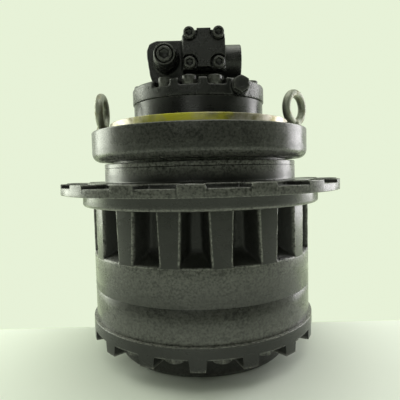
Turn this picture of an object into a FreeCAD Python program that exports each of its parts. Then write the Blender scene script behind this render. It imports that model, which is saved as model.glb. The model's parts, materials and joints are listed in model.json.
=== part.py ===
"""Final drive of a crawler excavator: travel motor, main bearings and two planetary stages.

Everything is in millimetres.  +Z is the axis of rotation and points towards the motor.  The
origin is the centre of the face of the mounting flange that sits against the track frame.
"""
import FreeCAD, Part
import math
import os

import Sketcher
from FreeCAD import Placement, Rotation, Vector

os.makedirs("parts", exist_ok=True)
doc = FreeCAD.newDocument("final_drive")

# --------------------------------------------------------------------------------------
# Driving dimensions
# --------------------------------------------------------------------------------------

DIMENSIONS = [
    # mounting flange and motor casing (one casting that does not turn)
    ("flange_radius", 252.5),
    ("flange_thickness", 67),
    ("flange_bevel", 19.5),
    ("edge_bevel", 2),
    ("frame_land_width", 42.5),
    ("spigot_height", 20),
    ("casing_radius", 153),
    ("casing_height", 63.5),
    ("chamber_radius", 118),
    ("chamber_depth", 24),
    ("swash_chamber_radius", 100),
    ("swash_chamber_depth", 120),
    ("casing_floor", 44),
    ("frame_hole_inset", 24.5),
    ("frame_hole_count", 20),
    ("frame_hole_depth", 42),
    ("tapped_radius", 10.5),
    ("bolt_radius", 12),
    ("bolt_hole_radius", 13),
    ("thread_clearance", 0.05),
    # spindle and main bearings
    ("spindle_radius", 140),
    ("spindle_past_hub", 11),
    ("spindle_bore", 100),
    ("shoulder_radius", 172),
    ("bearing_below_seal", 16.5),
    ("bearing_width", 42),
    ("cup_radius", 186),
    ("cup_race", 175.5),
    ("cup_slope", 0.24),
    ("cone_race", 152),
    ("cone_slope", 0.2),
    ("roller_length", 28),
    ("roller_count", 20),
    ("nut_radius", 166),
    ("nut_height", 15),
    ("running_clearance", 0.05),
    # face seal between the flange and the hub
    ("seal_radius", 208),
    ("seal_inner_radius", 184),
    ("seal_depth", 18),
    ("seal_cord_radius", 5.4),
    # hub
    ("neck_radius", 225.8),
    ("neck_gap", 5),
    ("neck_length", 42),
    ("sprocket_flange_radius", 323.7),
    ("sprocket_flange_thickness", 23.5),
    ("feature_count", 16),
    ("feature_turn", -2.7),
    ("recess_depth", 7.5),
    ("recess_length", 55.7),
    ("recess_angle", 13.8),
    ("sprocket_seat_width", 46.7),
    ("sprocket_hole_inset", 23.7),
    ("pilot_height", 27.5),
    ("rib_height", 110),
    ("pocket_floor_radius", 214),
    ("pocket_top_half_width", 25.5),
    ("pocket_foot_half_width", 30),
    ("pocket_floor_half_width", 17),
    ("pocket_ledge_rise", 22),
    # ring gear and end cover
    ("pilot_step", 22),
    ("ring_past_planets", 1.4),
    ("dowel_radius", 8),
    ("rim_step", 7),
    ("rim_height", 24.6),
    ("drum_radius", 201),
    ("drum_height", 66),
    ("cover_wall", 15),
    ("guard_height", 22.6),
    ("guard_top_width", 34),
    ("guard_bottom_width", 29),
    ("bolt_head_flats", 36),
    ("bolt_head_height", 15),
    ("plug_radius", 18),
    ("plug_circle", 150),
    # gears
    ("gear_module", 6),
    ("pressure_angle", 25),
    ("ring_teeth", 66),
    ("sun_1_teeth", 12),
    ("sun_2_teeth", 14),
    ("planet_1_count", 3),
    ("planet_2_count", 4),
    ("flank_gap", 0.34),
    ("planet_1_width", 39),
    ("planet_2_width", 66),
    ("carrier_2_plate", 18),
    ("carrier_2_end_plate", 14),
    ("carrier_1_plate", 20),
    ("carrier_1_top_plate", 8),
    ("washer_thickness", 1.5),
    ("face_gap", 0.5),
    ("pin_1_radius", 22),
    ("pin_2_radius", 26),
    ("needle_ring", 10),
    # motor
    ("shaft_radius", 20),
    ("block_radius", 74),
    ("block_length", 86),
    ("piston_circle", 50),
    ("piston_radius", 10.5),
    ("piston_count", 9),
    ("swash_angle", 14),
    ("swash_height", 32),
    ("valve_plate_thickness", 5),
    ("brake_plate", 2.5),
    ("brake_plate_count", 4),
    ("brake_stroke", 2.5),
    # motor cover and valve head
    ("cover_radius", 155.5),
    ("cover_height", 37.5),
    ("cover_bolt_circle", 137),
    ("cover_bolt_turn", -7.5),
    ("cover_pocket_radius", 20.5),
    ("cover_pocket_depth", 15),
    ("head_left", 32),
    ("head_right", 60),
    ("head_front", 108),
    ("head_back", 78),
    ("head_top", 200),
    ("neck_top", 125),
    ("lobe_reach", 109),
    ("lobe_top", 191),
    ("spool_height", 152),
    ("spool_depth", 55),
    ("spool_radius", 14),
    ("spool_length", 140),
    ("spool_stroke", 8),
    ("spool_boss_radius", 38),
    ("spool_boss_reach", 97),
    ("relief_x", -67.3),
    ("relief_z", 148),
    ("relief_radius", 22),
    ("relief_front", 150),
    ("plate_spacing", 61),
    ("plate_x", 14.5),
    ("plate_z", 165),
    ("plate_side_margin", 13.5),
    ("plate_end_margin", 9),
    ("plate_thickness", 22),
    ("drain_x", 88),
    ("drain_z", 82.5),
    ("drain_front", 150),
    ("port_radius", 16.6),
    ("port_spacing", 50),
    # lifting eyes
    ("eye_inset", 20),
    ("eye_centre", 55),
    ("eye_ring_radius", 35),
    ("eye_bar_radius", 10),
    ("eye_collar_radius", 20.5),
    ("eye_collar_height", 22),
]

sheet = doc.addObject("Spreadsheet::Sheet", "sizes")
for row, (alias, amount) in enumerate(DIMENSIONS, start=1):
    sheet.set(f"A{row}", alias)
    sheet.set(f"B{row}", str(amount))
    sheet.setAlias(f"B{row}", alias)
doc.recompute()


class Size:
    """A length known both as a number and as an expression on the sheet."""

    def __init__(self, number, words):
        self.number = float(number)
        self.words = words

    def _with(self, other, sign, number):
        return Size(number, f"({self.words} {sign} {size(other).words})")

    def __add__(self, other):
        return self._with(other, "+", self.number + size(other).number)

    def __sub__(self, other):
        return self._with(other, "-", self.number - size(other).number)

    def __mul__(self, other):
        return self._with(other, "*", self.number * size(other).number)

    def __truediv__(self, other):
        return self._with(other, "/", self.number / size(other).number)

    def __radd__(self, other):
        return size(other) + self

    def __rsub__(self, other):
        return size(other) - self

    def __rmul__(self, other):
        return size(other) * self

    def __rtruediv__(self, other):
        return size(other) / self

    def __neg__(self):
        return Size(-self.number, f"(0 - {self.words})")


def size(amount):
    """Return the amount as a Size, whether it is a plain number or one already."""
    return amount if isinstance(amount, Size) else Size(amount, f"{amount:.9g}")


def cell(alias):
    """Return the Size of one cell of the sheet."""
    return Size(sheet.get(alias), f"sizes.{alias}")


S = {alias: cell(alias) for alias, amount in DIMENSIONS}

# --------------------------------------------------------------------------------------
# Helpers that build sketches and features
# --------------------------------------------------------------------------------------


def new_body(label):
    """Start one sub-part."""
    body = doc.addObject("PartDesign::Body", label)
    body.Label = label
    body.AllowCompound = True
    return body


def origin_feature(body, role):
    """Return one of the body's own origin planes or axes."""
    return next(item for item in body.Origin.OriginFeatures if item.Role == role)


def new_sketch(body, role, lift=0):
    """Attach an empty sketch to an origin plane, lifted along the plane's normal."""
    sketch = body.newObject("Sketcher::SketchObject", body.Label + "_sketch")
    sketch.AttachmentSupport = (origin_feature(body, role), [""])
    sketch.MapMode = "FlatFace"
    sketch.setExpression(".AttachmentOffset.Base.z", size(lift).words)
    return sketch


def constrain(sketch, kind, amount, *where):
    """Add one constraint and bind it to the sheet."""
    number = sketch.addConstraint(Sketcher.Constraint(kind, *where, size(amount).number))
    sketch.setExpression(f"Constraints[{number}]", size(amount).words)


def draw_outline(sketch, corners):
    """Draw a closed outline of straight edges, and return the number of its first edge."""
    corners = [(size(x), size(y)) for x, y in corners]
    points = [Vector(x.number, y.number, 0) for x, y in corners]
    first = sketch.GeometryCount
    count = len(points)
    edges = [Part.LineSegment(points[i], points[(i + 1) % count]) for i in range(count)]
    sketch.addGeometry(edges, False)
    for i in range(count):
        ahead = first + (i + 1) % count
        sketch.addConstraint(Sketcher.Constraint("Coincident", first + i, 2, ahead, 1))
    for i, (x, y) in enumerate(corners):
        constrain(sketch, "DistanceX", x, -1, 1, first + i, 1)
        constrain(sketch, "DistanceY", y, -1, 1, first + i, 1)
    return first


def draw_circle(sketch, x, y, radius):
    """Draw one circle."""
    x, y, radius = size(x), size(y), size(radius)
    centre = Vector(x.number, y.number, 0)
    circle = sketch.addGeometry(Part.Circle(centre, Vector(0, 0, 1), radius.number), False)
    constrain(sketch, "Radius", radius, circle)
    constrain(sketch, "DistanceX", x, -1, 1, circle, 3)
    constrain(sketch, "DistanceY", y, -1, 1, circle, 3)


def checked(feature):
    """Recompute and stop at once if the feature failed."""
    doc.recompute()
    if "Invalid" in feature.State or "Error" in feature.State or feature.Shape.isNull():
        raise RuntimeError(f"{feature.Label} failed: {feature.State}")
    return feature


def turn(body, corners, groove=False):
    """Revolve a half section, given as radius and height, about the Z axis."""
    sketch = new_sketch(body, "XZ_Plane")
    draw_outline(sketch, corners)
    kind = "PartDesign::Groove" if groove else "PartDesign::Revolution"
    feature = body.newObject(kind, body.Label + "_turned")
    feature.Profile = sketch
    feature.ReferenceAxis = (sketch, ["V_Axis"])
    feature.Angle = 360
    return checked(feature)


def turn_about_edge(body, plane, corners, lift=0):
    """Revolve an outline about its own last edge."""
    sketch = new_sketch(body, plane, lift)
    first = draw_outline(sketch, corners)
    last = first + len(corners) - 1
    ends = [sketch.Geometry[last].StartPoint, sketch.Geometry[last].EndPoint]
    axis = sketch.addGeometry(Part.LineSegment(*ends), True)
    sketch.addConstraint(Sketcher.Constraint("Coincident", axis, 1, last, 1))
    sketch.addConstraint(Sketcher.Constraint("Coincident", axis, 2, last, 2))
    feature = body.newObject("PartDesign::Revolution", body.Label + "_turned")
    feature.Profile = sketch
    feature.ReferenceAxis = (sketch, ["Axis0"])
    feature.Angle = 360
    return checked(feature)


def pad(body, sketch, length, back=False, taper=0):
    """Add material along the sketch's normal."""
    feature = body.newObject("PartDesign::Pad", body.Label + "_pad")
    feature.Profile = sketch
    feature.setExpression("Length", size(length).words)
    feature.Reversed = back
    feature.TaperAngle = taper
    return checked(feature)


def pocket(body, sketch, length, back=False):
    """Cut material away against the sketch's normal, or along it where back is true."""
    before = body.Shape.Volume
    feature = body.newObject("PartDesign::Pocket", body.Label + "_pocket")
    feature.Profile = sketch
    feature.setExpression("Length", size(length).words)
    feature.Reversed = back
    checked(feature)
    if feature.Shape.Volume > before - 1:
        raise RuntimeError(f"{feature.Label} cuts nothing")
    return feature


def repeat(body, features, count, angle=360):
    """Repeat features about the Z axis."""
    pattern = body.newObject("PartDesign::PolarPattern", body.Label + "_ring")
    pattern.Originals = features
    pattern.Axis = (origin_feature(body, "Z_Axis"), [""])
    pattern.Angle = angle
    pattern.setExpression("Occurrences", size(count).words)
    body.Tip = pattern
    return checked(pattern)


def edges_where(shape, test):
    """Name the edges whose middle point passes the test."""
    names = []
    for number, edge in enumerate(shape.Edges, start=1):
        middle = edge.valueAt((edge.FirstParameter + edge.LastParameter) / 2)
        if test(edge, middle):
            names.append(f"Edge{number}")
    return names


def fillet(body, radius, test):
    """Round the edges of the body's last feature that pass the test."""
    base = body.Tip
    names = edges_where(base.Shape, test)
    if not names:
        raise RuntimeError(f"{body.Label} has no such edge to round")
    feature = body.newObject("PartDesign::Fillet", body.Label + "_fillet")
    feature.Base = (base, names)
    feature.setExpression("Radius", size(radius).words)
    return checked(feature)


def at_angle(radius, degrees):
    """Return the two coordinates, as Sizes, of a point at an angle on a circle."""
    degrees = size(degrees)
    x = Size(math.cos(math.radians(degrees.number)), f"cos({degrees.words})")
    y = Size(math.sin(math.radians(degrees.number)), f"sin({degrees.words})")
    return size(radius) * x, size(radius) * y


def hexagon(x, y, flats):
    """Return the corners of a hexagon with the given width across flats."""
    reach = size(flats) / math.sqrt(3)
    corners = []
    for step in range(6):
        across, up = at_angle(reach, 60 * step)
        corners.append((x + across, y + up))
    return corners


def hold_shape(label, shape):
    """Keep a shape worked out in code as one sub-part."""
    feature = doc.addObject("Part::Feature", label)
    feature.Label = label
    feature.Shape = shape
    return feature


def number(alias):
    """Return one cell of the sheet as a plain number."""
    return S[alias].number


def spin(thing, degrees):
    """Turn a sub-part about the Z axis."""
    thing.Placement = Placement(Vector(0, 0, 0), Rotation(Vector(0, 0, 1), degrees))


# Heights of the main faces, from the mounting face downwards
FLANGE_BOTTOM = -S["flange_thickness"]
NECK_TOP = FLANGE_BOTTOM - S["neck_gap"]
PAD_TOP = NECK_TOP - S["neck_length"]
PILOT_TOP = PAD_TOP - S["sprocket_flange_thickness"]
RIB_TOP = PILOT_TOP - S["pilot_height"]
RING_TOP = RIB_TOP - S["rib_height"]
CASING_TOP = S["casing_height"]
COVER_FACE = CASING_TOP + S["cover_height"]
CHAMBER_STEP = -S["chamber_depth"]
SWASH_FLOOR = -S["swash_chamber_depth"]
FLOOR_BOTTOM = SWASH_FLOOR - S["casing_floor"]
SEAL_FACE = (FLANGE_BOTTOM + NECK_TOP) / 2
UPPER_BEARING = SEAL_FACE - S["seal_depth"] - S["bearing_below_seal"]
UPPER_SHOULDER = UPPER_BEARING - S["bearing_width"]
SPINDLE_END = RING_TOP + S["spindle_past_hub"]
NUT_BOTTOM = SPINDLE_END + 0.4
LOWER_BEARING = NUT_BOTTOM + S["nut_height"]
LOWER_SHOULDER = LOWER_BEARING + S["bearing_width"]

# Heights of the two planetary stages, from the spindle downwards, and of the cover
CARRIER_2_TOP = SPINDLE_END
CLEAR = S["washer_thickness"] + S["face_gap"]
PLANET_2_TOP = CARRIER_2_TOP - S["carrier_2_plate"] - CLEAR
PLANET_2_BOTTOM = PLANET_2_TOP - S["planet_2_width"]
CARRIER_2_INNER = PLANET_2_BOTTOM - CLEAR
CARRIER_2_BOTTOM = CARRIER_2_INNER - S["carrier_2_end_plate"]
CARRIER_1_TOP = CARRIER_2_BOTTOM - 3
PLANET_1_TOP = CARRIER_1_TOP - S["carrier_1_top_plate"] - CLEAR
PLANET_1_BOTTOM = PLANET_1_TOP - S["planet_1_width"]
CARRIER_1_PLATE = PLANET_1_BOTTOM - CLEAR
CARRIER_1_BOTTOM = CARRIER_1_PLATE - S["carrier_1_plate"]
THRUST_TOP = CARRIER_1_BOTTOM - 0.3
THRUST_SEAT = THRUST_TOP - 6
COVER_TOP = PLANET_1_BOTTOM - S["ring_past_planets"]
RIM_BOTTOM = COVER_TOP - S["rim_height"]
DRUM_BOTTOM = RIM_BOTTOM - S["drum_height"]

# Radii that follow from one another, from the sprocket flange inwards
PILOT_RADIUS = S["sprocket_flange_radius"] - S["sprocket_seat_width"]
SPROCKET_CIRCLE = S["sprocket_flange_radius"] - S["sprocket_hole_inset"]
RING_RADIUS = PILOT_RADIUS - S["pilot_step"]
RING_ROOT = S["gear_module"] * (S["ring_teeth"] / 2 + 1.25)
RING_BOLT_CIRCLE = (RING_ROOT + RING_RADIUS) / 2
RIB_RADIUS = RING_RADIUS - 0.5
RIM_RADIUS = RING_RADIUS + S["rim_step"]
SPIGOT_RADIUS = S["flange_radius"] - S["frame_land_width"]
FRAME_HOLE_CIRCLE = S["flange_radius"] - S["frame_hole_inset"]
EYE_CIRCLE = S["flange_radius"] - S["eye_inset"]

# --------------------------------------------------------------------------------------
# The casting that does not turn, and the main bearings
# --------------------------------------------------------------------------------------

SHAFT_SEAL_RADIUS = S["shaft_radius"] + 18
SHAFT_BEARING_RADIUS = S["shaft_radius"] + 30
BEARING_POCKET = SWASH_FLOOR - 28
SEAL_POCKET = BEARING_POCKET - 12


def make_spindle_housing():
    """Mounting flange, motor casing and bearing spindle in one casting."""
    body = new_body("spindle_housing")
    flange, bevel, edge = S["flange_radius"], S["flange_bevel"], S["edge_bevel"]
    seal_top = SEAL_FACE + S["seal_depth"]
    turn(body, [
        (S["chamber_radius"], CASING_TOP),
        (S["casing_radius"], CASING_TOP),
        (S["casing_radius"], S["spigot_height"]),
        (SPIGOT_RADIUS - edge, S["spigot_height"]),
        (SPIGOT_RADIUS, S["spigot_height"] - edge),
        (SPIGOT_RADIUS, 0),
        (flange - edge, 0),
        (flange, -edge),
        (flange, FLANGE_BOTTOM + bevel),
        (flange - bevel, FLANGE_BOTTOM),
        (S["seal_radius"], FLANGE_BOTTOM),
        (S["seal_radius"], seal_top),
        (S["shoulder_radius"], seal_top),
        (S["shoulder_radius"], UPPER_BEARING),
        (S["spindle_radius"], UPPER_BEARING),
        (S["spindle_radius"], SPINDLE_END + edge),
        (S["spindle_radius"] - edge, SPINDLE_END),
        (S["spindle_bore"], SPINDLE_END),
        (S["spindle_bore"], FLOOR_BOTTOM),
        (S["shaft_radius"] + 6, FLOOR_BOTTOM),
        (S["shaft_radius"] + 6, SEAL_POCKET),
        (SHAFT_SEAL_RADIUS, SEAL_POCKET),
        (SHAFT_SEAL_RADIUS, BEARING_POCKET),
        (SHAFT_BEARING_RADIUS, BEARING_POCKET),
        (SHAFT_BEARING_RADIUS, SWASH_FLOOR),
        (S["swash_chamber_radius"], SWASH_FLOOR),
        (S["swash_chamber_radius"], CHAMBER_STEP),
        (S["chamber_radius"], CHAMBER_STEP),
    ])
    sketch = new_sketch(body, "XY_Plane")
    half_step = 180 / S["frame_hole_count"]
    draw_circle(sketch, *at_angle(FRAME_HOLE_CIRCLE, half_step), S["tapped_radius"])
    hole = pocket(body, sketch, S["frame_hole_depth"])
    repeat(body, [hole], S["frame_hole_count"])
    sketch = new_sketch(body, "XY_Plane")
    draw_circle(sketch, EYE_CIRCLE, 0, S["tapped_radius"])
    draw_circle(sketch, -EYE_CIRCLE, 0, S["tapped_radius"])
    pocket(body, sketch, S["frame_hole_depth"])
    sketch = new_sketch(body, "XY_Plane", CASING_TOP)
    for angle in COVER_BOLT_ANGLES:
        draw_circle(sketch, *at_angle(S["cover_bolt_circle"], angle), COVER_SCREW_MINOR)
    pocket(body, sketch, 40)
    sketch = new_sketch(body, "XY_Plane", SPINDLE_END)
    for angle in CARRIER_BOLT_ANGLES:
        draw_circle(sketch, *at_angle(CARRIER_BOLT_CIRCLE, angle), CARRIER_SCREW_MINOR)
    pocket(body, sketch, 30, back=True)
    return body


def race_radius(middle, slope, height, centre, outward):
    """Radius of a tapered raceway at a height: it grows in the outward direction."""
    return middle + slope * (height - centre) * outward


def make_bearing_races():
    """Inner and outer races of the two tapered roller bearings."""
    inner = new_body("bearing_inner_races")
    outer = new_body("bearing_outer_races")
    for back, front, outward in (
        (UPPER_BEARING, UPPER_SHOULDER, 1),
        (LOWER_BEARING, LOWER_SHOULDER, -1),
    ):
        centre = (back + front) / 2
        cone = [S["cone_race"], S["cone_slope"]]
        cup = [S["cup_race"], S["cup_slope"]]
        rib_out = back - 4 * outward
        rib_in = front + 4 * outward
        cup_back = back - 2 * outward
        turn(inner, [
            (S["spindle_radius"], back),
            (race_radius(*cone, rib_out, centre, outward) + 5, back),
            (race_radius(*cone, rib_out, centre, outward) + 5, rib_out),
            (race_radius(*cone, rib_out, centre, outward), rib_out),
            (race_radius(*cone, rib_in, centre, outward), rib_in),
            (race_radius(*cone, rib_in, centre, outward) + 2, rib_in),
            (race_radius(*cone, rib_in, centre, outward) + 2, front),
            (S["spindle_radius"], front),
        ])
        turn(outer, [
            (S["cup_radius"], cup_back),
            (race_radius(*cup, cup_back, centre, outward), cup_back),
            (race_radius(*cup, front, centre, outward), front),
            (S["cup_radius"], front),
        ])
    return inner, outer


def make_bearing_rollers():
    """Two rings of tapered rollers, each between its own pair of raceways."""
    cone_tilt = math.atan(number("cone_slope"))
    cup_tilt = math.atan(number("cup_slope"))
    tilt = (cone_tilt + cup_tilt) / 2
    half_taper = (cup_tilt - cone_tilt) / 2
    gap = (number("cup_race") - number("cone_race")) / 2
    length = number("roller_length")
    mean = gap * math.cos(cup_tilt) - number("running_clearance")
    grow = length / 2 * math.tan(half_taper)
    rollers = []
    for back, front, outward in (
        (UPPER_BEARING, UPPER_SHOULDER, 1),
        (LOWER_BEARING, LOWER_SHOULDER, -1),
    ):
        height = (back.number + front.number) / 2
        roller = Part.makeCone(mean - grow, mean + grow, length, Vector(0, 0, -length / 2))
        if outward < 0:
            roller.rotate(Vector(0, 0, 0), Vector(1, 0, 0), 180)
        roller.rotate(Vector(0, 0, 0), Vector(0, 1, 0), math.degrees(tilt) * outward)
        roller.translate(Vector(number("cone_race") + gap, 0, height))
        count = int(number("roller_count"))
        for step in range(count):
            copy = roller.copy()
            copy.rotate(Vector(0, 0, 0), Vector(0, 0, 1), 360 * step / count)
            rollers.append(copy)
    return hold_shape("bearing_rollers", Part.makeCompound(rollers))


def make_bearing_nut():
    """Slotted nut that preloads the main bearings."""
    body = new_body("bearing_nut")
    turn(body, [
        (S["spindle_radius"], LOWER_BEARING),
        (S["nut_radius"] - 6, LOWER_BEARING),
        (S["nut_radius"], LOWER_BEARING - 3),
        (S["nut_radius"], NUT_BOTTOM),
        (S["spindle_radius"], NUT_BOTTOM),
    ])
    sketch = new_sketch(body, "XY_Plane", NUT_BOTTOM)
    slot_in = S["nut_radius"] - 7
    slot_out = S["nut_radius"] + 5
    draw_outline(sketch, [(slot_in, -6), (slot_out, -6), (slot_out, 6), (slot_in, 6)])
    slot = pocket(body, sketch, 8, back=True)
    repeat(body, [slot], 6)


def make_face_seal():
    """Two lapped rings and the two rubber cords that load them."""
    bore, inner, depth = S["seal_radius"], S["seal_inner_radius"], S["seal_depth"]
    cord = S["seal_cord_radius"]
    for name, way in (("fixed", 1), ("rotating", -1)):
        ring = new_body(f"seal_ring_{name}")
        face = SEAL_FACE + 0.05 * way
        turn(ring, [
            (inner, face),
            (bore - 3, face),
            (bore - 3, SEAL_FACE + 4 * way),
            (bore - 12, SEAL_FACE + 6 * way),
            (bore - 13, SEAL_FACE + (depth - 0.5) * way),
            (inner, SEAL_FACE + (depth - 0.5) * way),
        ])
        rubber = doc.addObject("Part::Torus", f"seal_cord_{name}")
        rubber.Label = f"seal_cord_{name}"
        middle = (bore - 0.2) - cord
        rubber.setExpression("Radius1", middle.words)
        rubber.setExpression("Radius2", cord.words)
        height = SEAL_FACE + (depth / 2 + 3) * way
        rubber.setExpression(".Placement.Base.z", height.words)
    doc.recompute()


def make_lifting_eye(label, side, ring_turn):
    """Forged eye screwed into the mounting flange."""
    shank = doc.addObject("Part::Cylinder", label + "_shank")
    shank.setExpression("Radius", (S["tapped_radius"] - S["thread_clearance"]).words)
    shank.setExpression("Height", (S["frame_hole_depth"] - 5).words)
    shank.setExpression(".Placement.Base.z", (5 - S["frame_hole_depth"]).words)
    collar = doc.addObject("Part::Cone", label + "_collar")
    collar.setExpression("Radius1", S["eye_collar_radius"].words)
    collar.setExpression("Radius2", (S["eye_collar_radius"] - 8).words)
    collar.setExpression("Height", S["eye_collar_height"].words)
    ring = doc.addObject("Part::Torus", label + "_ring")
    ring.setExpression("Radius1", S["eye_ring_radius"].words)
    ring.setExpression("Radius2", S["eye_bar_radius"].words)
    turned = Rotation(Vector(0, 0, 1), ring_turn) * Rotation(Vector(1, 0, 0), 90)
    ring.Placement = Placement(Vector(0, 0, 0), turned)
    ring.setExpression(".Placement.Base.z", S["eye_centre"].words)
    eye = doc.addObject("Part::MultiFuse", label)
    eye.Label = label
    eye.Shapes = [shank, collar, ring]
    eye.setExpression(".Placement.Base.x", (EYE_CIRCLE * side).words)
    return checked(eye)


# --------------------------------------------------------------------------------------
# Hub, ring gear and end cover, which turn together
# --------------------------------------------------------------------------------------


def dowel_places():
    """Centres of the four dowels, each midway between two cover bolts."""
    count = S["feature_count"]
    steps = [round(count.number * quarter / 4) for quarter in range(4)]
    return [at_angle(RING_BOLT_CIRCLE, 360 * step / count) for step in steps]


def make_hub():
    """Hub casting with the notched sprocket flange and the ribbed barrel."""
    body = new_body("hub")
    neck, edge = S["neck_radius"], S["edge_bevel"] - 0.5
    flange = S["sprocket_flange_radius"]
    groove = NECK_TOP - 9
    seal_floor = SEAL_FACE - S["seal_depth"]
    inner = S["cup_radius"] - 15
    turn(body, [
        (S["seal_radius"], NECK_TOP),
        (neck - edge, NECK_TOP),
        (neck, NECK_TOP - edge),
        (neck, groove),
        (neck - 1.5, groove - 0.5),
        (neck - 1.5, groove - 1.5),
        (neck, groove - 2),
        (neck, PAD_TOP),
        (flange - edge, PAD_TOP),
        (flange, PAD_TOP - edge),
        (flange, PILOT_TOP + edge),
        (flange - edge, PILOT_TOP),
        (PILOT_RADIUS, PILOT_TOP),
        (PILOT_RADIUS, RIB_TOP + 4),
        (PILOT_RADIUS - 4, RIB_TOP),
        (RIB_RADIUS, RIB_TOP),
        (RIB_RADIUS, RING_TOP),
        (S["cup_radius"] + 6, RING_TOP),
        (S["cup_radius"] + 6, RING_TOP + 17),
        (S["cup_radius"], RING_TOP + 19),
        (S["cup_radius"], LOWER_SHOULDER),
        (inner, LOWER_SHOULDER),
        (inner, UPPER_SHOULDER),
        (S["cup_radius"], UPPER_SHOULDER),
        (S["cup_radius"], seal_floor),
        (S["seal_radius"], seal_floor),
    ])
    half_step = 180 / S["feature_count"]
    sketch = new_sketch(body, "XY_Plane", PAD_TOP)
    recess = S["recess_angle"] / 2
    recess_inner = flange - S["recess_length"]
    draw_outline(sketch, [
        at_angle(recess_inner, half_step - recess),
        at_angle(flange * 1.03, half_step - recess),
        at_angle(flange * 1.03, half_step + recess),
        at_angle(recess_inner, half_step + recess),
    ])
    recesses = pocket(body, sketch, S["recess_depth"])
    repeat(body, [recesses], S["feature_count"])
    repeat(body, [cut_rib_pocket(body)], S["feature_count"])
    sketch = new_sketch(body, "XY_Plane", PAD_TOP)
    draw_circle(sketch, SPROCKET_CIRCLE, 0, S["bolt_hole_radius"])
    hole = pocket(body, sketch, S["sprocket_flange_thickness"])
    repeat(body, [hole], S["feature_count"])
    sketch = new_sketch(body, "XY_Plane", RING_TOP)
    draw_circle(sketch, *at_angle(RING_BOLT_CIRCLE, half_step), S["tapped_radius"])
    hole = pocket(body, sketch, 48, back=True)
    repeat(body, [hole], S["feature_count"])
    sketch = new_sketch(body, "XY_Plane", RING_TOP)
    for x, y in dowel_places():
        draw_circle(sketch, x, y, S["dowel_radius"])
    pocket(body, sketch, 12, back=True)
    return body


def cut_rib_pocket(body):
    """Cut one cast pocket, wider at its foot, with drafted sides and a sloping ledge."""
    mouth_x, floor_x = RIB_RADIUS + 4, S["pocket_floor_radius"]
    top, foot = RIB_TOP - 2, RING_TOP + 2
    floor_half = S["pocket_floor_half_width"]
    sections = []
    for lift, foot_half, top_half, low, high in (
        (mouth_x, S["pocket_foot_half_width"], S["pocket_top_half_width"], foot, top),
        (floor_x, floor_half + 1, floor_half - 1, foot + S["pocket_ledge_rise"], top - 4),
    ):
        sketch = new_sketch(body, "YZ_Plane", lift)
        corners = [(-foot_half, low), (foot_half, low), (top_half, high), (-top_half, high)]
        draw_outline(sketch, corners)
        sections.append(sketch)
    before = body.Shape.Volume
    feature = body.newObject("PartDesign::SubtractiveLoft", "hub_rib_pocket")
    feature.Profile = sections[0]
    feature.Sections = [sections[1]]
    feature.Ruled = True
    checked(feature)
    if feature.Shape.Volume > before - 1:
        raise RuntimeError("the rib pocket cuts nothing")
    return feature


def make_end_cover():
    """Domed cover with guard blocks between its bolts."""
    body = new_body("end_cover")
    wall, drum = S["cover_wall"], S["drum_radius"]
    inner = drum - wall
    floor = DRUM_BOTTOM + wall + 1
    turn(body, [
        (inner, COVER_TOP),
        (RIM_RADIUS - 1, COVER_TOP),
        (RIM_RADIUS, COVER_TOP - 1),
        (RIM_RADIUS, RIM_BOTTOM + 1),
        (RIM_RADIUS - 1, RIM_BOTTOM),
        (drum + 4, RIM_BOTTOM),
        (drum, RIM_BOTTOM - 4),
        (drum, DRUM_BOTTOM + 8),
        (drum - 8, DRUM_BOTTOM),
        (0, DRUM_BOTTOM),
        (0, THRUST_SEAT),
        (THRUST_RADIUS, THRUST_SEAT),
        (THRUST_RADIUS + 4, floor),
        (inner - 10, floor),
        (inner, floor + 10),
    ])
    top, bottom = S["guard_top_width"] / 2, S["guard_bottom_width"] / 2
    low = RIM_BOTTOM - S["guard_height"]
    sketch = new_sketch(body, "YZ_Plane", drum - 6)
    draw_outline(sketch, [
        (top, RIM_BOTTOM + 1),
        (bottom + 1, low + 5),
        (bottom - 4, low),
        (4 - bottom, low),
        (-bottom - 1, low + 5),
        (-top, RIM_BOTTOM + 1),
    ])
    guard = pad(body, sketch, RIM_RADIUS - drum + 5.4)
    repeat(body, [guard], S["feature_count"])
    half_step = 180 / S["feature_count"]
    sketch = new_sketch(body, "XY_Plane", COVER_TOP)
    draw_circle(sketch, *at_angle(RING_BOLT_CIRCLE, half_step), S["bolt_hole_radius"])
    hole = pocket(body, sketch, S["rim_height"])
    repeat(body, [hole], S["feature_count"])
    sketch = new_sketch(body, "XY_Plane", COVER_TOP)
    for x, y in dowel_places():
        draw_circle(sketch, x, y, S["dowel_radius"])
    pocket(body, sketch, 12)
    sketch = new_sketch(body, "XY_Plane", DRUM_BOTTOM)
    draw_circle(sketch, S["plug_circle"], 0, S["plug_radius"] + 3)
    seat = pocket(body, sketch, 6, back=True)
    sketch = new_sketch(body, "XY_Plane", DRUM_BOTTOM)
    draw_circle(sketch, S["plug_circle"], 0, S["plug_radius"] - 4)
    hole = pocket(body, sketch, wall + 2, back=True)
    repeat(body, [seat, hole], 3)
    return body


def make_cover_bolts():
    """Hexagon bolts that hold cover and ring gear to the hub."""
    body = new_body("cover_bolts")
    bolt_x, bolt_y = at_angle(RING_BOLT_CIRCLE, 180 / S["feature_count"])
    head_top = RIM_BOTTOM
    thread_start = RING_TOP - 20
    sketch = new_sketch(body, "XY_Plane", head_top)
    draw_outline(sketch, hexagon(bolt_x, bolt_y, S["bolt_head_flats"]))
    head = pad(body, sketch, S["bolt_head_height"], back=True)
    sketch = new_sketch(body, "XY_Plane", head_top)
    draw_circle(sketch, bolt_x, bolt_y, S["bolt_radius"])
    shank = pad(body, sketch, thread_start - head_top)
    sketch = new_sketch(body, "XY_Plane", thread_start)
    draw_circle(sketch, bolt_x, bolt_y, S["tapped_radius"] - S["thread_clearance"])
    thread = pad(body, sketch, RING_TOP + 42 - thread_start)
    repeat(body, [head, shank, thread], S["feature_count"])
    return body


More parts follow.
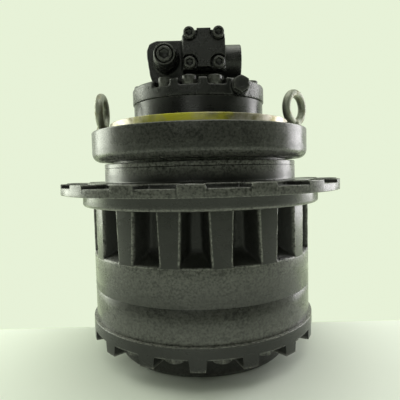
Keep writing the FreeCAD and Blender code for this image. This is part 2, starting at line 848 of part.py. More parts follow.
def make_dowels():
    """Dowels that locate the ring gear between hub and cover."""
    body = new_body("dowels")
    for centre in (RING_TOP, COVER_TOP):
        sketch = new_sketch(body, "XY_Plane", centre - 11)
        for x, y in dowel_places():
            draw_circle(sketch, x, y, S["dowel_radius"] - 0.02)
        pad(body, sketch, 22)
    return body


def make_cover_plugs():
    """Filler, level and drain plugs, sunk into the cover's end face."""
    body = new_body("cover_plugs")
    sketch = new_sketch(body, "XY_Plane", DRUM_BOTTOM + 6)
    draw_circle(sketch, S["plug_circle"], 0, S["plug_radius"])
    flange = pad(body, sketch, 5, back=True)
    sketch = new_sketch(body, "XY_Plane", DRUM_BOTTOM + 6)
    draw_circle(sketch, S["plug_circle"], 0, S["plug_radius"] - 4.05)
    shank = pad(body, sketch, 12)
    sketch = new_sketch(body, "XY_Plane", DRUM_BOTTOM + 1)
    draw_outline(sketch, hexagon(S["plug_circle"], 0, 17))
    socket = pocket(body, sketch, 9, back=True)
    repeat(body, [flange, shank, socket], 3)
    return body


# --------------------------------------------------------------------------------------
# Gears
# --------------------------------------------------------------------------------------

MODULE = number("gear_module")
RING_TEETH = int(number("ring_teeth"))
SUN_TEETH = {1: int(number("sun_1_teeth")), 2: int(number("sun_2_teeth"))}
PLANET_TEETH = {stage: (RING_TEETH - SUN_TEETH[stage]) // 2 for stage in (1, 2)}
PLANET_COUNT = {stage: int(number(f"planet_{stage}_count")) for stage in (1, 2)}
ORBIT = {stage: MODULE * (SUN_TEETH[stage] + PLANET_TEETH[stage]) / 2 for stage in (1, 2)}
ROOT_DEPTH = 1.25


def involute(angle):
    """Involute function of an angle in radians."""
    return math.tan(angle) - angle


def toothed_outline(teeth, inner, outer, thicker, phase):
    """Closed outline of a gear whose tooth centres start at the phase, in radians.

    Each flank is one arc through three points of the involute.  The teeth are made thicker,
    or thinner where the amount is negative, measured along the pitch circle.
    """
    pressure = math.radians(number("pressure_angle"))
    pitch = MODULE * teeth / 2
    base = pitch * math.cos(pressure)
    start = max(inner, base * 1.001)

    def half_angle(radius):
        here = math.acos(min(1.0, base / radius))
        middle = math.pi / (2 * teeth) + thicker / (2 * pitch)
        return middle + involute(pressure) - involute(here)

    def point(radius, angle):
        return Vector(radius * math.cos(angle), radius * math.sin(angle), 0)

    middle = (start + outer) / 2
    edges = []
    for tooth in range(teeth):
        centre = phase + 2 * math.pi * tooth / teeth
        rise = [point(r, centre - half_angle(r)) for r in (start, middle, outer)]
        fall = [point(r, centre + half_angle(r)) for r in (outer, middle, start)]
        foot_in = point(inner, centre - half_angle(start))
        foot_out = point(inner, centre + half_angle(start))
        if start > inner + 0.01:
            edges.append(Part.LineSegment(foot_in, rise[0]).toShape())
        edges.append(Part.Arc(*rise).toShape())
        edges.append(Part.LineSegment(rise[2], fall[0]).toShape())
        edges.append(Part.Arc(*fall).toShape())
        if start > inner + 0.01:
            edges.append(Part.LineSegment(fall[2], foot_out).toShape())
        following = centre + 2 * math.pi / teeth
        next_foot = point(inner, following - half_angle(start))
        edges.append(Part.LineSegment(foot_out, next_foot).toShape())
    return Part.Wire(edges)


def extruded(outer, holes, bottom, top):
    """Solid between two heights from an outer wire and the wires of its holes."""
    face = Part.makeFace([outer] + holes, "Part::FaceMakerBullseye")
    face.translate(Vector(0, 0, bottom))
    return face.extrude(Vector(0, 0, top - bottom))


def circle_wire(radius, x=0, y=0):
    """Wire of one full circle."""
    return Part.Wire(Part.makeCircle(radius, Vector(x, y, 0)))


def external_gear(teeth, bore, bottom, top, phase):
    """Spur gear on the Z axis."""
    pitch = MODULE * teeth / 2
    root = pitch - ROOT_DEPTH * MODULE
    outline = toothed_outline(teeth, root, pitch + MODULE, -number("flank_gap"), phase)
    holes = [circle_wire(bore)] if bore else []
    return extruded(outline, holes, bottom, top)


RING_PHASE = math.radians(number("feature_turn"))


def planet_phase(stage, direction):
    """Turn of a planet, placed in the given direction, that meshes with the ring gear."""
    ring = (direction - RING_PHASE) * RING_TEETH / (2 * math.pi)
    return direction - 2 * math.pi / PLANET_TEETH[stage] * (ring + 0.5)


def sun_phase(stage):
    """Turn of a sun gear that meshes with its planets."""
    planet = (math.pi - planet_phase(stage, 0)) * PLANET_TEETH[stage] / (2 * math.pi)
    return -2 * math.pi / SUN_TEETH[stage] * (0.5 - planet)


def make_ring_gear():
    """Ring gear whose teeth serve both stages, drilled for the cover bolts and dowels."""
    pitch = MODULE * RING_TEETH / 2
    root = pitch + ROOT_DEPTH * MODULE
    half_tooth = math.pi / RING_TEETH
    inside = toothed_outline(
        RING_TEETH, pitch - MODULE, root, number("flank_gap"), half_tooth)
    circle = RING_BOLT_CIRCLE.number
    count = int(number("feature_count"))
    holes = [inside]
    for step in range(count):
        angle = 2 * math.pi * (step + 0.5) / count
        x, y = circle * math.cos(angle), circle * math.sin(angle)
        holes.append(circle_wire(number("bolt_hole_radius"), x, y))
    body_ring = extruded(
        circle_wire(RING_RADIUS.number), holes, COVER_TOP.number, RING_TOP.number)
    for end in (RING_TOP.number - 12, COVER_TOP.number):
        for x, y in dowel_places():
            foot = Vector(x.number, y.number, end)
            body_ring = body_ring.cut(Part.makeCylinder(number("dowel_radius"), 12, foot))
    ring = hold_shape("ring_gear", body_ring)
    spin(ring, number("feature_turn"))


THRUST_RADIUS = size(45)
SLEEVE_TOP = PLANET_2_BOTTOM - 2.5
SLEEVE_RADIUS = size(62)
CARRIER_BOLT_CIRCLE = (S["spindle_radius"] + S["spindle_bore"]) / 2
CARRIER_BOLT_ANGLES = [90 * quarter + extra for quarter in range(4) for extra in (30, 45, 60)]
CARRIER_SCREW_MINOR = size(6.9)
CARRIER_SCREW_RADIUS = size(8)
CARRIER_HEAD_RADIUS = size(12)
COVER_SCREW_MINOR = size(8.6)
COVER_SCREW_RADIUS = size(10)
COVER_BOLT_STEPS = [step for step in range(16) if step not in (2, 14)]
COVER_BOLT_ANGLES = [
    S["cover_bolt_turn"] - 90 + 22.5 * (step if step < 8 else step - 16)
    for step in COVER_BOLT_STEPS
]


def planet_direction(stage, index):
    """Direction, in degrees, in which a planet lies at rest."""
    return 360 * index / PLANET_COUNT[stage]


def planet_place(stage, index):
    """Centre of a planet, as Sizes."""
    return at_angle(size(ORBIT[stage]), planet_direction(stage, index))


def make_planets():
    """Planet gears of both stages, each a sub-part of its own."""
    limits = {
        1: (PLANET_1_BOTTOM.number, PLANET_1_TOP.number, number("pin_1_radius")),
        2: (PLANET_2_BOTTOM.number, PLANET_2_TOP.number, number("pin_2_radius")),
    }
    for stage, (bottom, top, pin) in limits.items():
        bore = pin + number("needle_ring")
        for index in range(PLANET_COUNT[stage]):
            direction = math.radians(planet_direction(stage, index))
            phase = planet_phase(stage, direction)
            gear = external_gear(PLANET_TEETH[stage], bore, bottom, top, phase)
            label = f"planet_{stage}_" + "abcdef"[index]
            planet = hold_shape(label, gear)
            place = Vector(math.cos(direction), math.sin(direction), 0) * ORBIT[stage]
            planet.Placement = Placement(place, Rotation())


def make_sun_gears():
    """Hollow sun gear of stage 2, and the long shaft that carries the sun of stage 1."""
    top = PLANET_2_TOP.number - 2
    bottom = CARRIER_1_TOP.number + 0.3
    bore = number("shaft_radius") + 4
    hold_shape("sun_gear_2", external_gear(SUN_TEETH[2], bore, bottom, top, sun_phase(2)))
    end = CARRIER_1_PLATE.number + 0.3
    gear = external_gear(SUN_TEETH[1], 0, end, PLANET_1_TOP.number, sun_phase(1))
    foot = Vector(0, 0, PLANET_1_TOP.number)
    length = COUPLING_MIDDLE.number - 1 - foot.z
    shaft = Part.makeCylinder(number("shaft_radius"), length, foot)
    hold_shape("sun_shaft_1", gear.fuse(shaft).removeSplitter())


def make_carrier_2():
    """Planet carrier of stage 2, bolted to the end of the spindle."""
    body = new_body("carrier_2")
    radius = S["cup_radius"] - 2
    sketch = new_sketch(body, "XY_Plane", CARRIER_2_TOP)
    draw_circle(sketch, 0, 0, radius)
    draw_circle(sketch, 0, 0, SLEEVE_RADIUS - 2)
    pad(body, sketch, S["carrier_2_plate"], back=True)
    sketch = new_sketch(body, "XY_Plane", CARRIER_2_BOTTOM)
    draw_circle(sketch, 0, 0, radius)
    draw_circle(sketch, 0, 0, SLEEVE_RADIUS + 6)
    pad(body, sketch, S["carrier_2_end_plate"])
    sketch = new_sketch(body, "XY_Plane", CARRIER_2_INNER)
    between = 180 / PLANET_COUNT[2]
    for index in range(PLANET_COUNT[2]):
        angle = planet_direction(2, index) + between
        draw_outline(sketch, web_corners(size(ORBIT[2]), radius, angle))
    pad(body, sketch, CARRIER_2_TOP - S["carrier_2_plate"] - CARRIER_2_INNER)
    sketch = new_sketch(body, "XY_Plane", CARRIER_2_BOTTOM)
    for index in range(PLANET_COUNT[2]):
        draw_circle(sketch, *planet_place(2, index), S["pin_2_radius"])
    pocket(body, sketch, CARRIER_2_TOP - CARRIER_2_BOTTOM - 6, back=True)
    sketch = new_sketch(body, "XY_Plane", CARRIER_2_TOP)
    for angle in CARRIER_BOLT_ANGLES:
        draw_circle(sketch, *at_angle(CARRIER_BOLT_CIRCLE, angle), CARRIER_SCREW_RADIUS + 0.5)
    pocket(body, sketch, S["carrier_2_plate"])
    sketch = new_sketch(body, "XY_Plane", CARRIER_2_TOP - S["carrier_2_plate"])
    for angle in CARRIER_BOLT_ANGLES:
        draw_circle(sketch, *at_angle(CARRIER_BOLT_CIRCLE, angle), CARRIER_HEAD_RADIUS + 0.5)
    pocket(body, sketch, 13, back=True)
    return body


def web_corners(orbit, radius, angle):
    """Corners of the web that joins a carrier's two plates between two planets."""
    inner, outer = orbit * 1.28, radius - 2
    return [
        at_angle(inner, angle - 3),
        at_angle(outer, angle - 9),
        at_angle(outer + 0.5, angle),
        at_angle(outer, angle + 9),
        at_angle(inner, angle + 3),
    ]


def make_carrier_1():
    """Planet carrier of stage 1, whose sleeve drives the sun gear of stage 2."""
    body = new_body("carrier_1")
    radius = size(ORBIT[1]) + S["pin_1_radius"] + 19
    sketch = new_sketch(body, "XY_Plane", CARRIER_1_BOTTOM)
    draw_circle(sketch, 0, 0, radius)
    draw_circle(sketch, 0, 0, 8)
    pad(body, sketch, S["carrier_1_plate"])
    sketch = new_sketch(body, "XY_Plane", CARRIER_1_TOP)
    draw_circle(sketch, 0, 0, radius)
    draw_circle(sketch, 0, 0, S["shaft_radius"] + 6)
    pad(body, sketch, S["carrier_1_top_plate"], back=True)
    sketch = new_sketch(body, "XY_Plane", CARRIER_1_PLATE)
    between = 180 / PLANET_COUNT[1]
    for index in range(PLANET_COUNT[1]):
        angle = planet_direction(1, index) + between
        inner, outer = size(ORBIT[1]) * 0.82, radius - 1
        draw_outline(sketch, [
            at_angle(inner, angle - 9),
            at_angle(outer, angle - 17),
            at_angle(outer + 0.5, angle),
            at_angle(outer, angle + 17),
            at_angle(inner, angle + 9),
        ])
    pad(body, sketch, CARRIER_1_TOP - S["carrier_1_top_plate"] - CARRIER_1_PLATE)
    sketch = new_sketch(body, "XY_Plane", CARRIER_1_TOP)
    draw_circle(sketch, 0, 0, SLEEVE_RADIUS)
    draw_circle(sketch, 0, 0, MODULE * (SUN_TEETH[2] / 2 + 1) + 0.3)
    pad(body, sketch, SLEEVE_TOP - CARRIER_1_TOP)
    sketch = new_sketch(body, "XY_Plane", CARRIER_1_BOTTOM)
    for index in range(PLANET_COUNT[1]):
        draw_circle(sketch, *planet_place(1, index), S["pin_1_radius"])
    pocket(body, sketch, CARRIER_1_TOP - CARRIER_1_BOTTOM, back=True)
    return body


def make_pins_and_washers():
    """Planet pins, needle rings and thrust washers of both stages."""
    stages = {
        1: (CARRIER_1_TOP, CARRIER_1_BOTTOM, PLANET_1_TOP, PLANET_1_BOTTOM),
        2: (CARRIER_2_TOP - 6.5, CARRIER_2_BOTTOM, PLANET_2_TOP, PLANET_2_BOTTOM),
    }
    thick, gap = S["washer_thickness"], S["face_gap"]
    for stage, (pin_top, pin_bottom, top, bottom) in stages.items():
        pin = S[f"pin_{stage}_radius"]
        pins = new_body(f"carrier_{stage}_pins")
        needles = new_body(f"stage_{stage}_needle_rings")
        washers = new_body(f"stage_{stage}_washers")
        places = [planet_place(stage, index) for index in range(PLANET_COUNT[stage])]
        outer = pin + S["needle_ring"] - S["running_clearance"]
        for body, inner, rim, low, tall in (
            (pins, None, pin - 0.02, pin_bottom, pin_top - pin_bottom),
            (needles, pin, outer, bottom, top - bottom),
            (washers, pin + 0.1, pin + 22, top + gap, thick),
            (washers, pin + 0.1, pin + 22, bottom - gap - thick, thick),
        ):
            sketch = new_sketch(body, "XY_Plane", low)
            for x, y in places:
                draw_circle(sketch, x, y, rim)
                if inner is not None:
                    draw_circle(sketch, x, y, inner)
            pad(body, sketch, tall)


def make_carrier_bolts():
    """Socket screws that hold carrier 2 to the spindle."""
    body = new_body("carrier_2_bolts")
    head_face = CARRIER_2_TOP - S["carrier_2_plate"] + 0.5
    seat = CARRIER_2_TOP - S["carrier_2_plate"] + 13
    for low, tall, radius in (
        (head_face, seat - head_face, CARRIER_HEAD_RADIUS),
        (seat, CARRIER_2_TOP - seat, CARRIER_SCREW_RADIUS),
        (CARRIER_2_TOP, size(26), CARRIER_SCREW_MINOR - S["thread_clearance"]),
    ):
        sketch = new_sketch(body, "XY_Plane", low)
        for angle in CARRIER_BOLT_ANGLES:
            draw_circle(sketch, *at_angle(CARRIER_BOLT_CIRCLE, angle), radius)
        pad(body, sketch, tall)
    return body


def make_thrust_disc():
    """Bronze disc between the cover and carrier 1."""
    body = new_body("thrust_disc")
    sketch = new_sketch(body, "XY_Plane", THRUST_SEAT)
    draw_circle(sketch, 0, 0, THRUST_RADIUS)
    draw_circle(sketch, 0, 0, 10)
    pad(body, sketch, THRUST_TOP - THRUST_SEAT)
    return body


# --------------------------------------------------------------------------------------
# Travel motor
# --------------------------------------------------------------------------------------

COUPLING_MIDDLE = FLOOR_BOTTOM - 26
SHAFT_TOP = CASING_TOP + 20
BLOCK_TOP = CASING_TOP - S["valve_plate_thickness"] - 0.1
BLOCK_BOTTOM = BLOCK_TOP - S["block_length"]
SWASH_PLANE = SWASH_FLOOR + S["swash_height"]
SWASH_TILT = math.radians(number("swash_angle"))


def make_motor_shaft():
    """Motor shaft and the splined sleeve that couples it to the sun shaft."""
    shaft = S["shaft_radius"]
    body = new_body("motor_shaft")
    turn(body, [
        (0, SHAFT_TOP),
        (shaft - 4, SHAFT_TOP),
        (shaft - 4, CASING_TOP + 1),
        (shaft, CASING_TOP - 1),
        (shaft, COUPLING_MIDDLE + 1),
        (0, COUPLING_MIDDLE + 1),
    ])
    sleeve = new_body("shaft_coupling")
    turn(sleeve, [
        (shaft + 0.05, FLOOR_BOTTOM - 4),
        (shaft + 9, FLOOR_BOTTOM - 4),
        (shaft + 11, FLOOR_BOTTOM - 6),
        (shaft + 11, COUPLING_MIDDLE - 22),
        (shaft + 0.05, COUPLING_MIDDLE - 22),
    ])


def make_shaft_bearings():
    """Front and rear bearings of the motor shaft, and its lip seal."""
    shaft = S["shaft_radius"]
    body = new_body("shaft_bearings")
    for inner, outer, low, tall in (
        (shaft + 0.1, SHAFT_BEARING_RADIUS - 0.02, BEARING_POCKET, 26),
        (shaft - 3.9, shaft + 19.98, CASING_TOP + 2, 18),
    ):
        sketch = new_sketch(body, "XY_Plane", low)
        draw_circle(sketch, 0, 0, inner)
        draw_circle(sketch, 0, 0, outer)
        pad(body, sketch, tall)
    seal = new_body("shaft_seal")
    turn(seal, [
        (shaft + 0.1, SEAL_POCKET + 5),
        (shaft + 2, SEAL_POCKET + 1),
        (SHAFT_SEAL_RADIUS - 0.02, SEAL_POCKET),
        (SHAFT_SEAL_RADIUS - 0.02, SEAL_POCKET + 11),
        (SHAFT_SEAL_RADIUS - 5, SEAL_POCKET + 11),
        (SHAFT_SEAL_RADIUS - 5, SEAL_POCKET + 4),
        (shaft + 4, SEAL_POCKET + 6),
        (shaft + 0.1, SEAL_POCKET + 7),
    ])


def piston_angles():
    """Directions of the pistons, in degrees."""
    count = int(number("piston_count"))
    return [360 * index / count for index in range(count)]


def make_rotating_group():
    """Valve plate and cylinder block with its bores."""
    plate = new_body("valve_plate")
    sketch = new_sketch(plate, "XY_Plane", CASING_TOP)
    draw_circle(sketch, 0, 0, S["block_radius"] - 4)
    draw_circle(sketch, 0, 0, S["shaft_radius"] + 4)
    pad(plate, sketch, S["valve_plate_thickness"], back=True)
    sketch = new_sketch(plate, "XY_Plane", CASING_TOP)
    for angle in (20, 55, 90, 125, 160, 200, 235, 270, 305, 340):
        draw_circle(sketch, *at_angle(S["piston_circle"], angle), 6)
    pocket(plate, sketch, S["valve_plate_thickness"])
    block = new_body("cylinder_block")
    sketch = new_sketch(block, "XY_Plane", BLOCK_TOP)
    draw_circle(sketch, 0, 0, S["block_radius"])
    draw_circle(sketch, 0, 0, S["shaft_radius"] + 0.3)
    pad(block, sketch, S["block_length"], back=True)
    sketch = new_sketch(block, "XY_Plane", BLOCK_BOTTOM)
    for angle in piston_angles():
        draw_circle(sketch, *at_angle(S["piston_circle"], angle), S["piston_radius"])
    pocket(block, sketch, S["block_length"] - 12, back=True)
    sketch = new_sketch(block, "XY_Plane", BLOCK_TOP)
    for angle in piston_angles():
        draw_circle(sketch, *at_angle(S["piston_circle"], angle), 6)
    pocket(block, sketch, 12)
    return block


def make_pistons():
    """Pistons, shoes and retainer plate at the swash plate's true tilt."""
    circle, radius = number("piston_circle"), number("piston_radius")
    ball, ball_height = 8, 11
    normal = Vector(0, -math.sin(SWASH_TILT), math.cos(SWASH_TILT))
    centre = Vector(0, 0, SWASH_PLANE.number)
    pistons, shoes, holes = [], [], []
    for angle in piston_angles():
        turn_to = math.radians(angle)
        x, y = circle * math.cos(turn_to), circle * math.sin(turn_to)
        foot = Vector(x, y, centre.z + y * math.tan(SWASH_TILT))
        joint = foot + Vector(0, 0, ball_height / math.cos(SWASH_TILT))
        seat = joint - normal * ball_height
        stem = Part.makeCone(ball * 0.6, radius - 0.05, 8, joint + Vector(0, 0, 5))
        barrel = Part.makeCylinder(radius - 0.05, 64, joint + Vector(0, 0, 13))
        pistons.append(Part.makeSphere(ball, joint).fuse([stem, barrel]).removeSplitter())
        pad_disc = Part.makeCylinder(13.5, 5, seat, normal)
        cup = Part.makeCone(12, 10.5, 8, seat + normal * 5, normal)
        socket = Part.makeSphere(ball + 0.05, joint)
        stem_room = Part.makeCone(6, 12, 14, joint, normal)
        shoes.append(pad_disc.fuse(cup).cut(socket).cut(stem_room).removeSplitter())
        holes.append(Part.makeCylinder(13, 12, seat, normal))
    hold_shape("pistons", Part.makeCompound(pistons))
    hold_shape("piston_shoes", Part.makeCompound(shoes))
    plate = Part.makeCylinder(circle + 20, 4, centre + normal * 5.1, normal)
    plate = plate.cut(Part.makeCylinder(circle - 18, 4, centre + normal * 5.1, normal))
    for hole in holes:
        plate = plate.cut(hole)
    hold_shape("shoe_retainer", plate)


def make_swash_plate():
    """Wedge-shaped swash plate on the floor of the casing."""
    radius = number("swash_chamber_radius") - 14
    floor = SWASH_FLOOR.number
    normal = Vector(0, -math.sin(SWASH_TILT), math.cos(SWASH_TILT))
    blank = Part.makeCylinder(radius, 2 * number("swash_height"), Vector(0, 0, floor))
    above = Part.makeCylinder(3 * radius, 120, Vector(0, 0, SWASH_PLANE.number), normal)
    bore = Part.makeCylinder(number("shaft_radius") + 8, 200, Vector(0, 0, floor))
    hold_shape("swash_plate", blank.cut(above).cut(bore))


def make_brake():
    """Wet disc parking brake round the cylinder block."""
    thick = S["brake_plate"]
    friction = new_body("brake_friction_plates")
    steel = new_body("brake_separator_plates")
    inner, outer = S["block_radius"], S["chamber_radius"]
    level = CHAMBER_STEP
    for index in range(int(number("brake_plate_count"))):
        for body, hole, rim in (
            (steel, inner + 10, outer - 0.05),
            (friction, inner + 0.3, outer - 8),
        ):
            sketch = new_sketch(body, "XY_Plane", level)
            draw_circle(sketch, 0, 0, hole)
            draw_circle(sketch, 0, 0, rim)
            pad(body, sketch, thick)
            level = level + thick
    piston = new_body("brake_piston")
    base = level + 0.1
    top = CASING_TOP - 15
    turn(piston, [
        (inner + 6, base),
        (outer - 0.3, base),
        (outer - 0.3, top),
        (outer - 10, top),
        (outer - 12, top - 8),
        (inner + 10, top - 8),
        (inner + 6, top - 12),
    ])
    springs = new_body("brake_springs")
    rim, bore, thick = outer - 2, outer - 30, 3
    for rim_low, bore_low in ((top + 0.1, top + 4.1), (top + 11.5, top + 7.5)):
        turn(springs, [
            (rim, rim_low),
            (bore, bore_low),
            (bore, bore_low + thick),
            (rim, rim_low + thick),
        ])


# --------------------------------------------------------------------------------------
# Motor cover with its valve head
# --------------------------------------------------------------------------------------

OPEN_POCKET_ANGLES = [
    S["cover_bolt_turn"] + 90 * way + 22.5 * step for way in (-1, 1) for step in (-1, 0, 1)
]
POCKET_FLOOR = COVER_FACE - S["cover_pocket_depth"]
PLATE_FACE = S["head_front"] + S["plate_thickness"]
SCOOP_DEPTH = size(12)
PLATE_SCREW_MINOR = size(6.9)


def plate_bolt_places():
    """Centres of the four screws of the port cover, in X and Z."""
    reach = S["plate_spacing"] / 2
    return [
        (S["plate_x"] + reach * a, S["plate_z"] + reach * b)
        for a, b in ((-1, -1), (1, -1), (1, 1), (-1, 1))
    ]


def add_rectangle(sketch, left, right, low, high):
    """Draw a rectangle."""
    draw_outline(sketch, [(left, low), (right, low), (right, high), (left, high)])


def make_motor_cover():
    """Cover disc with the counterbalance valve head cast on it."""
    body = new_body("motor_cover")
    cover, bevel = S["cover_radius"], 3.5
    turn(body, [
        (0, COVER_FACE),
        (cover - bevel, COVER_FACE),
        (cover, COVER_FACE - bevel),
        (cover, CASING_TOP),
        (S["shaft_radius"] + 20, CASING_TOP),
        (S["shaft_radius"] + 20, CASING_TOP + 22),
        (0, CASING_TOP + 22),
    ])
    left, right, back = -S["head_left"], S["head_right"], S["head_back"]
    sketch = new_sketch(body, "XY_Plane", COVER_FACE - 1)
    add_rectangle(sketch, left + 4, right - 4, 30 - S["head_front"], back)
    pad(body, sketch, S["neck_top"] - COVER_FACE + 2)
    sketch = new_sketch(body, "XY_Plane", S["neck_top"])
    add_rectangle(sketch, left, right, -S["head_front"], back)
    pad(body, sketch, S["head_top"] - S["neck_top"])
    fillet(body, 8, lambda edge, at: abs(edge.tangentAt(edge.FirstParameter).z) > 0.9
           and at.z > number("neck_top") and at.y > 0)
    sketch = new_sketch(body, "XZ_Plane", 20)
    reach = -S["lobe_reach"]
    corner = 20
    draw_outline(sketch, [
        (left + 2, COVER_FACE - 1),
        (reach + 11, COVER_FACE - 1),
        (reach + 5, S["neck_top"] - 7),
        (reach, S["spool_height"] + 5),
        (reach, S["lobe_top"] - corner),
        (reach + corner * 0.3, S["lobe_top"] - corner * 0.3),
        (reach + corner, S["lobe_top"]),
        (left + 2, S["lobe_top"]),
    ])
    pad(body, sketch, 75)
    sketch = new_sketch(body, "YZ_Plane", right - 4)
    draw_circle(sketch, -S["spool_depth"], S["spool_height"], S["spool_boss_radius"])
    pad(body, sketch, S["spool_boss_reach"] - right + 4)
    sketch = new_sketch(body, "XZ_Plane", S["relief_front"])
    draw_circle(sketch, S["relief_x"], S["relief_z"], S["relief_radius"])
    pad(body, sketch, S["relief_front"] - 94, back=True, taper=6)
    sketch = new_sketch(body, "XZ_Plane", S["drain_front"])
    draw_circle(sketch, S["drain_x"], S["drain_z"], S["drain_z"] - CASING_TOP - 0.3)
    pad(body, sketch, 50, back=True)
    cut_screw_pockets(body)
    cut_valve_bores(body)
    return body


def cut_screw_pockets(body):
    """Cut the pockets of the cover's screws: three open at the front and three behind."""
    sketch = new_sketch(body, "XY_Plane", COVER_FACE)
    for angle in COVER_BOLT_ANGLES:
        place = at_angle(S["cover_bolt_circle"], angle)
        draw_circle(sketch, *place, COVER_SCREW_RADIUS + 7)
    pocket(body, sketch, S["cover_pocket_depth"])
    sketch = new_sketch(body, "XY_Plane", COVER_FACE)
    half = S["cover_pocket_radius"]
    for angle in OPEN_POCKET_ANGLES:
        in_x, in_y = at_angle(S["cover_bolt_circle"] - 14, angle)
        out_x, out_y = at_angle(S["cover_radius"] + 8, angle)
        side_x, side_y = at_angle(half, angle + 90)
        draw_outline(sketch, [
            (in_x - side_x, in_y - side_y),
            (out_x - side_x, out_y - side_y),
            (out_x + side_x, out_y + side_y),
            (in_x + side_x, in_y + side_y),
        ])
    pocket(body, sketch, S["cover_pocket_depth"])
    sketch = new_sketch(body, "XY_Plane", POCKET_FLOOR)
    for angle in COVER_BOLT_ANGLES:
        draw_circle(sketch, *at_angle(S["cover_bolt_circle"], angle), COVER_SCREW_RADIUS + 0.5)
    pocket(body, sketch, POCKET_FLOOR - CASING_TOP)


def cut_valve_bores(body):
    """Cut the spool bore, the relief bore, the drain bore and the ports."""
    sketch = new_sketch(body, "YZ_Plane", S["spool_boss_reach"])
    draw_circle(sketch, -S["spool_depth"], S["spool_height"], S["spool_radius"] + 0.05)
    pocket(body, sketch, S["spool_boss_reach"] + S["lobe_reach"] - 15)
    sketch = new_sketch(body, "YZ_Plane", S["spool_boss_reach"])
    draw_circle(sketch, -S["spool_depth"], S["spool_height"], S["spool_radius"] + 8)
    pocket(body, sketch, 16)
    sketch = new_sketch(body, "XZ_Plane", S["relief_front"])
    draw_circle(sketch, S["relief_x"], S["relief_z"], S["relief_radius"] - 3.5)
    pocket(body, sketch, 6)
    sketch = new_sketch(body, "XZ_Plane", S["relief_front"])
    draw_circle(sketch, S["relief_x"], S["relief_z"], S["relief_radius"] - 10)
    pocket(body, sketch, 58)
    sketch = new_sketch(body, "XZ_Plane", S["drain_front"])
    draw_circle(sketch, S["drain_x"], S["drain_z"], 12.05)
    pocket(body, sketch, 30)
    sketch = new_sketch(body, "XZ_Plane", S["head_front"])
    for x, z in plate_bolt_places():
        draw_circle(sketch, x, z, PLATE_SCREW_MINOR)
    pocket(body, sketch, 28)
    sketch = new_sketch(body, "XZ_Plane", -S["head_back"])
    for side in (-1, 1):
        port_x = S["plate_x"] + S["port_spacing"] / 2 * side
        draw_circle(sketch, port_x, S["spool_height"], S["port_radius"])
    pocket(body, sketch, 36, back=True)
    sketch = new_sketch(body, "XY_Plane", S["head_top"])
    draw_circle(sketch, S["plate_x"], 30, 11)
    draw_circle(sketch, S["plate_x"] - 25, -20, 6.5)
    pocket(body, sketch, 26)


def make_cover_screws():
    """Socket screws of the motor cover."""
    body = new_body("motor_cover_bolts")
    places = [at_angle(S["cover_bolt_circle"], angle) for angle in COVER_BOLT_ANGLES]
    for low, tall, radius in (
        (POCKET_FLOOR, size(20), COVER_SCREW_RADIUS + 5),
        (CASING_TOP, POCKET_FLOOR - CASING_TOP, COVER_SCREW_RADIUS),
        (CASING_TOP - 35, size(35), COVER_SCREW_MINOR - S["thread_clearance"]),
    ):
        sketch = new_sketch(body, "XY_Plane", low)
        for x, y in places:
            draw_circle(sketch, x, y, radius)
        pad(body, sketch, tall)
    sketch = new_sketch(body, "XY_Plane", POCKET_FLOOR + 20)
    for x, y in places:
        draw_outline(sketch, hexagon(x, y, 17))
    pocket(body, sketch, 10)
    return body


def make_port_cover():
    """Square plate over the valve head, with a scoop round each screw."""
    body = new_body("port_cover")
    across = S["plate_spacing"] / 2 + S["plate_side_margin"]
    up = S["plate_spacing"] / 2 + S["plate_end_margin"]
    sketch = new_sketch(body, "XZ_Plane", S["head_front"])
    x, z = S["plate_x"], S["plate_z"]
    add_rectangle(sketch, x - across, x + across, z - up, z + up)
    pad(body, sketch, S["plate_thickness"])
    fillet(body, 10, lambda edge, at: abs(edge.tangentAt(edge.FirstParameter).y) > 0.9)
    sketch = new_sketch(body, "XZ_Plane", PLATE_FACE)
    for x, z in plate_bolt_places():
        draw_circle(sketch, x, z, 17.5)
    pocket(body, sketch, SCOOP_DEPTH)
    sketch = new_sketch(body, "XZ_Plane", PLATE_FACE)
    for x, z in plate_bolt_places():
        draw_circle(sketch, x, z, 8.5)
    pocket(body, sketch, S["plate_thickness"])
    bolts = new_body("port_cover_bolts")
    seat = PLATE_FACE - SCOOP_DEPTH
    for front, length, radius in (
        (seat + 16, size(16), 12),
        (seat, S["plate_thickness"] - SCOOP_DEPTH, 8),
        (S["head_front"], size(25), 6.85),
    ):
        sketch = new_sketch(bolts, "XZ_Plane", front)
        for x, z in plate_bolt_places():
            draw_circle(sketch, x, z, radius)
        pad(bolts, sketch, length, back=True)
    sketch = new_sketch(bolts, "XZ_Plane", seat + 16)
    for x, z in plate_bolt_places():
        draw_outline(sketch, hexagon(x, z, 14))
    pocket(bolts, sketch, 8)


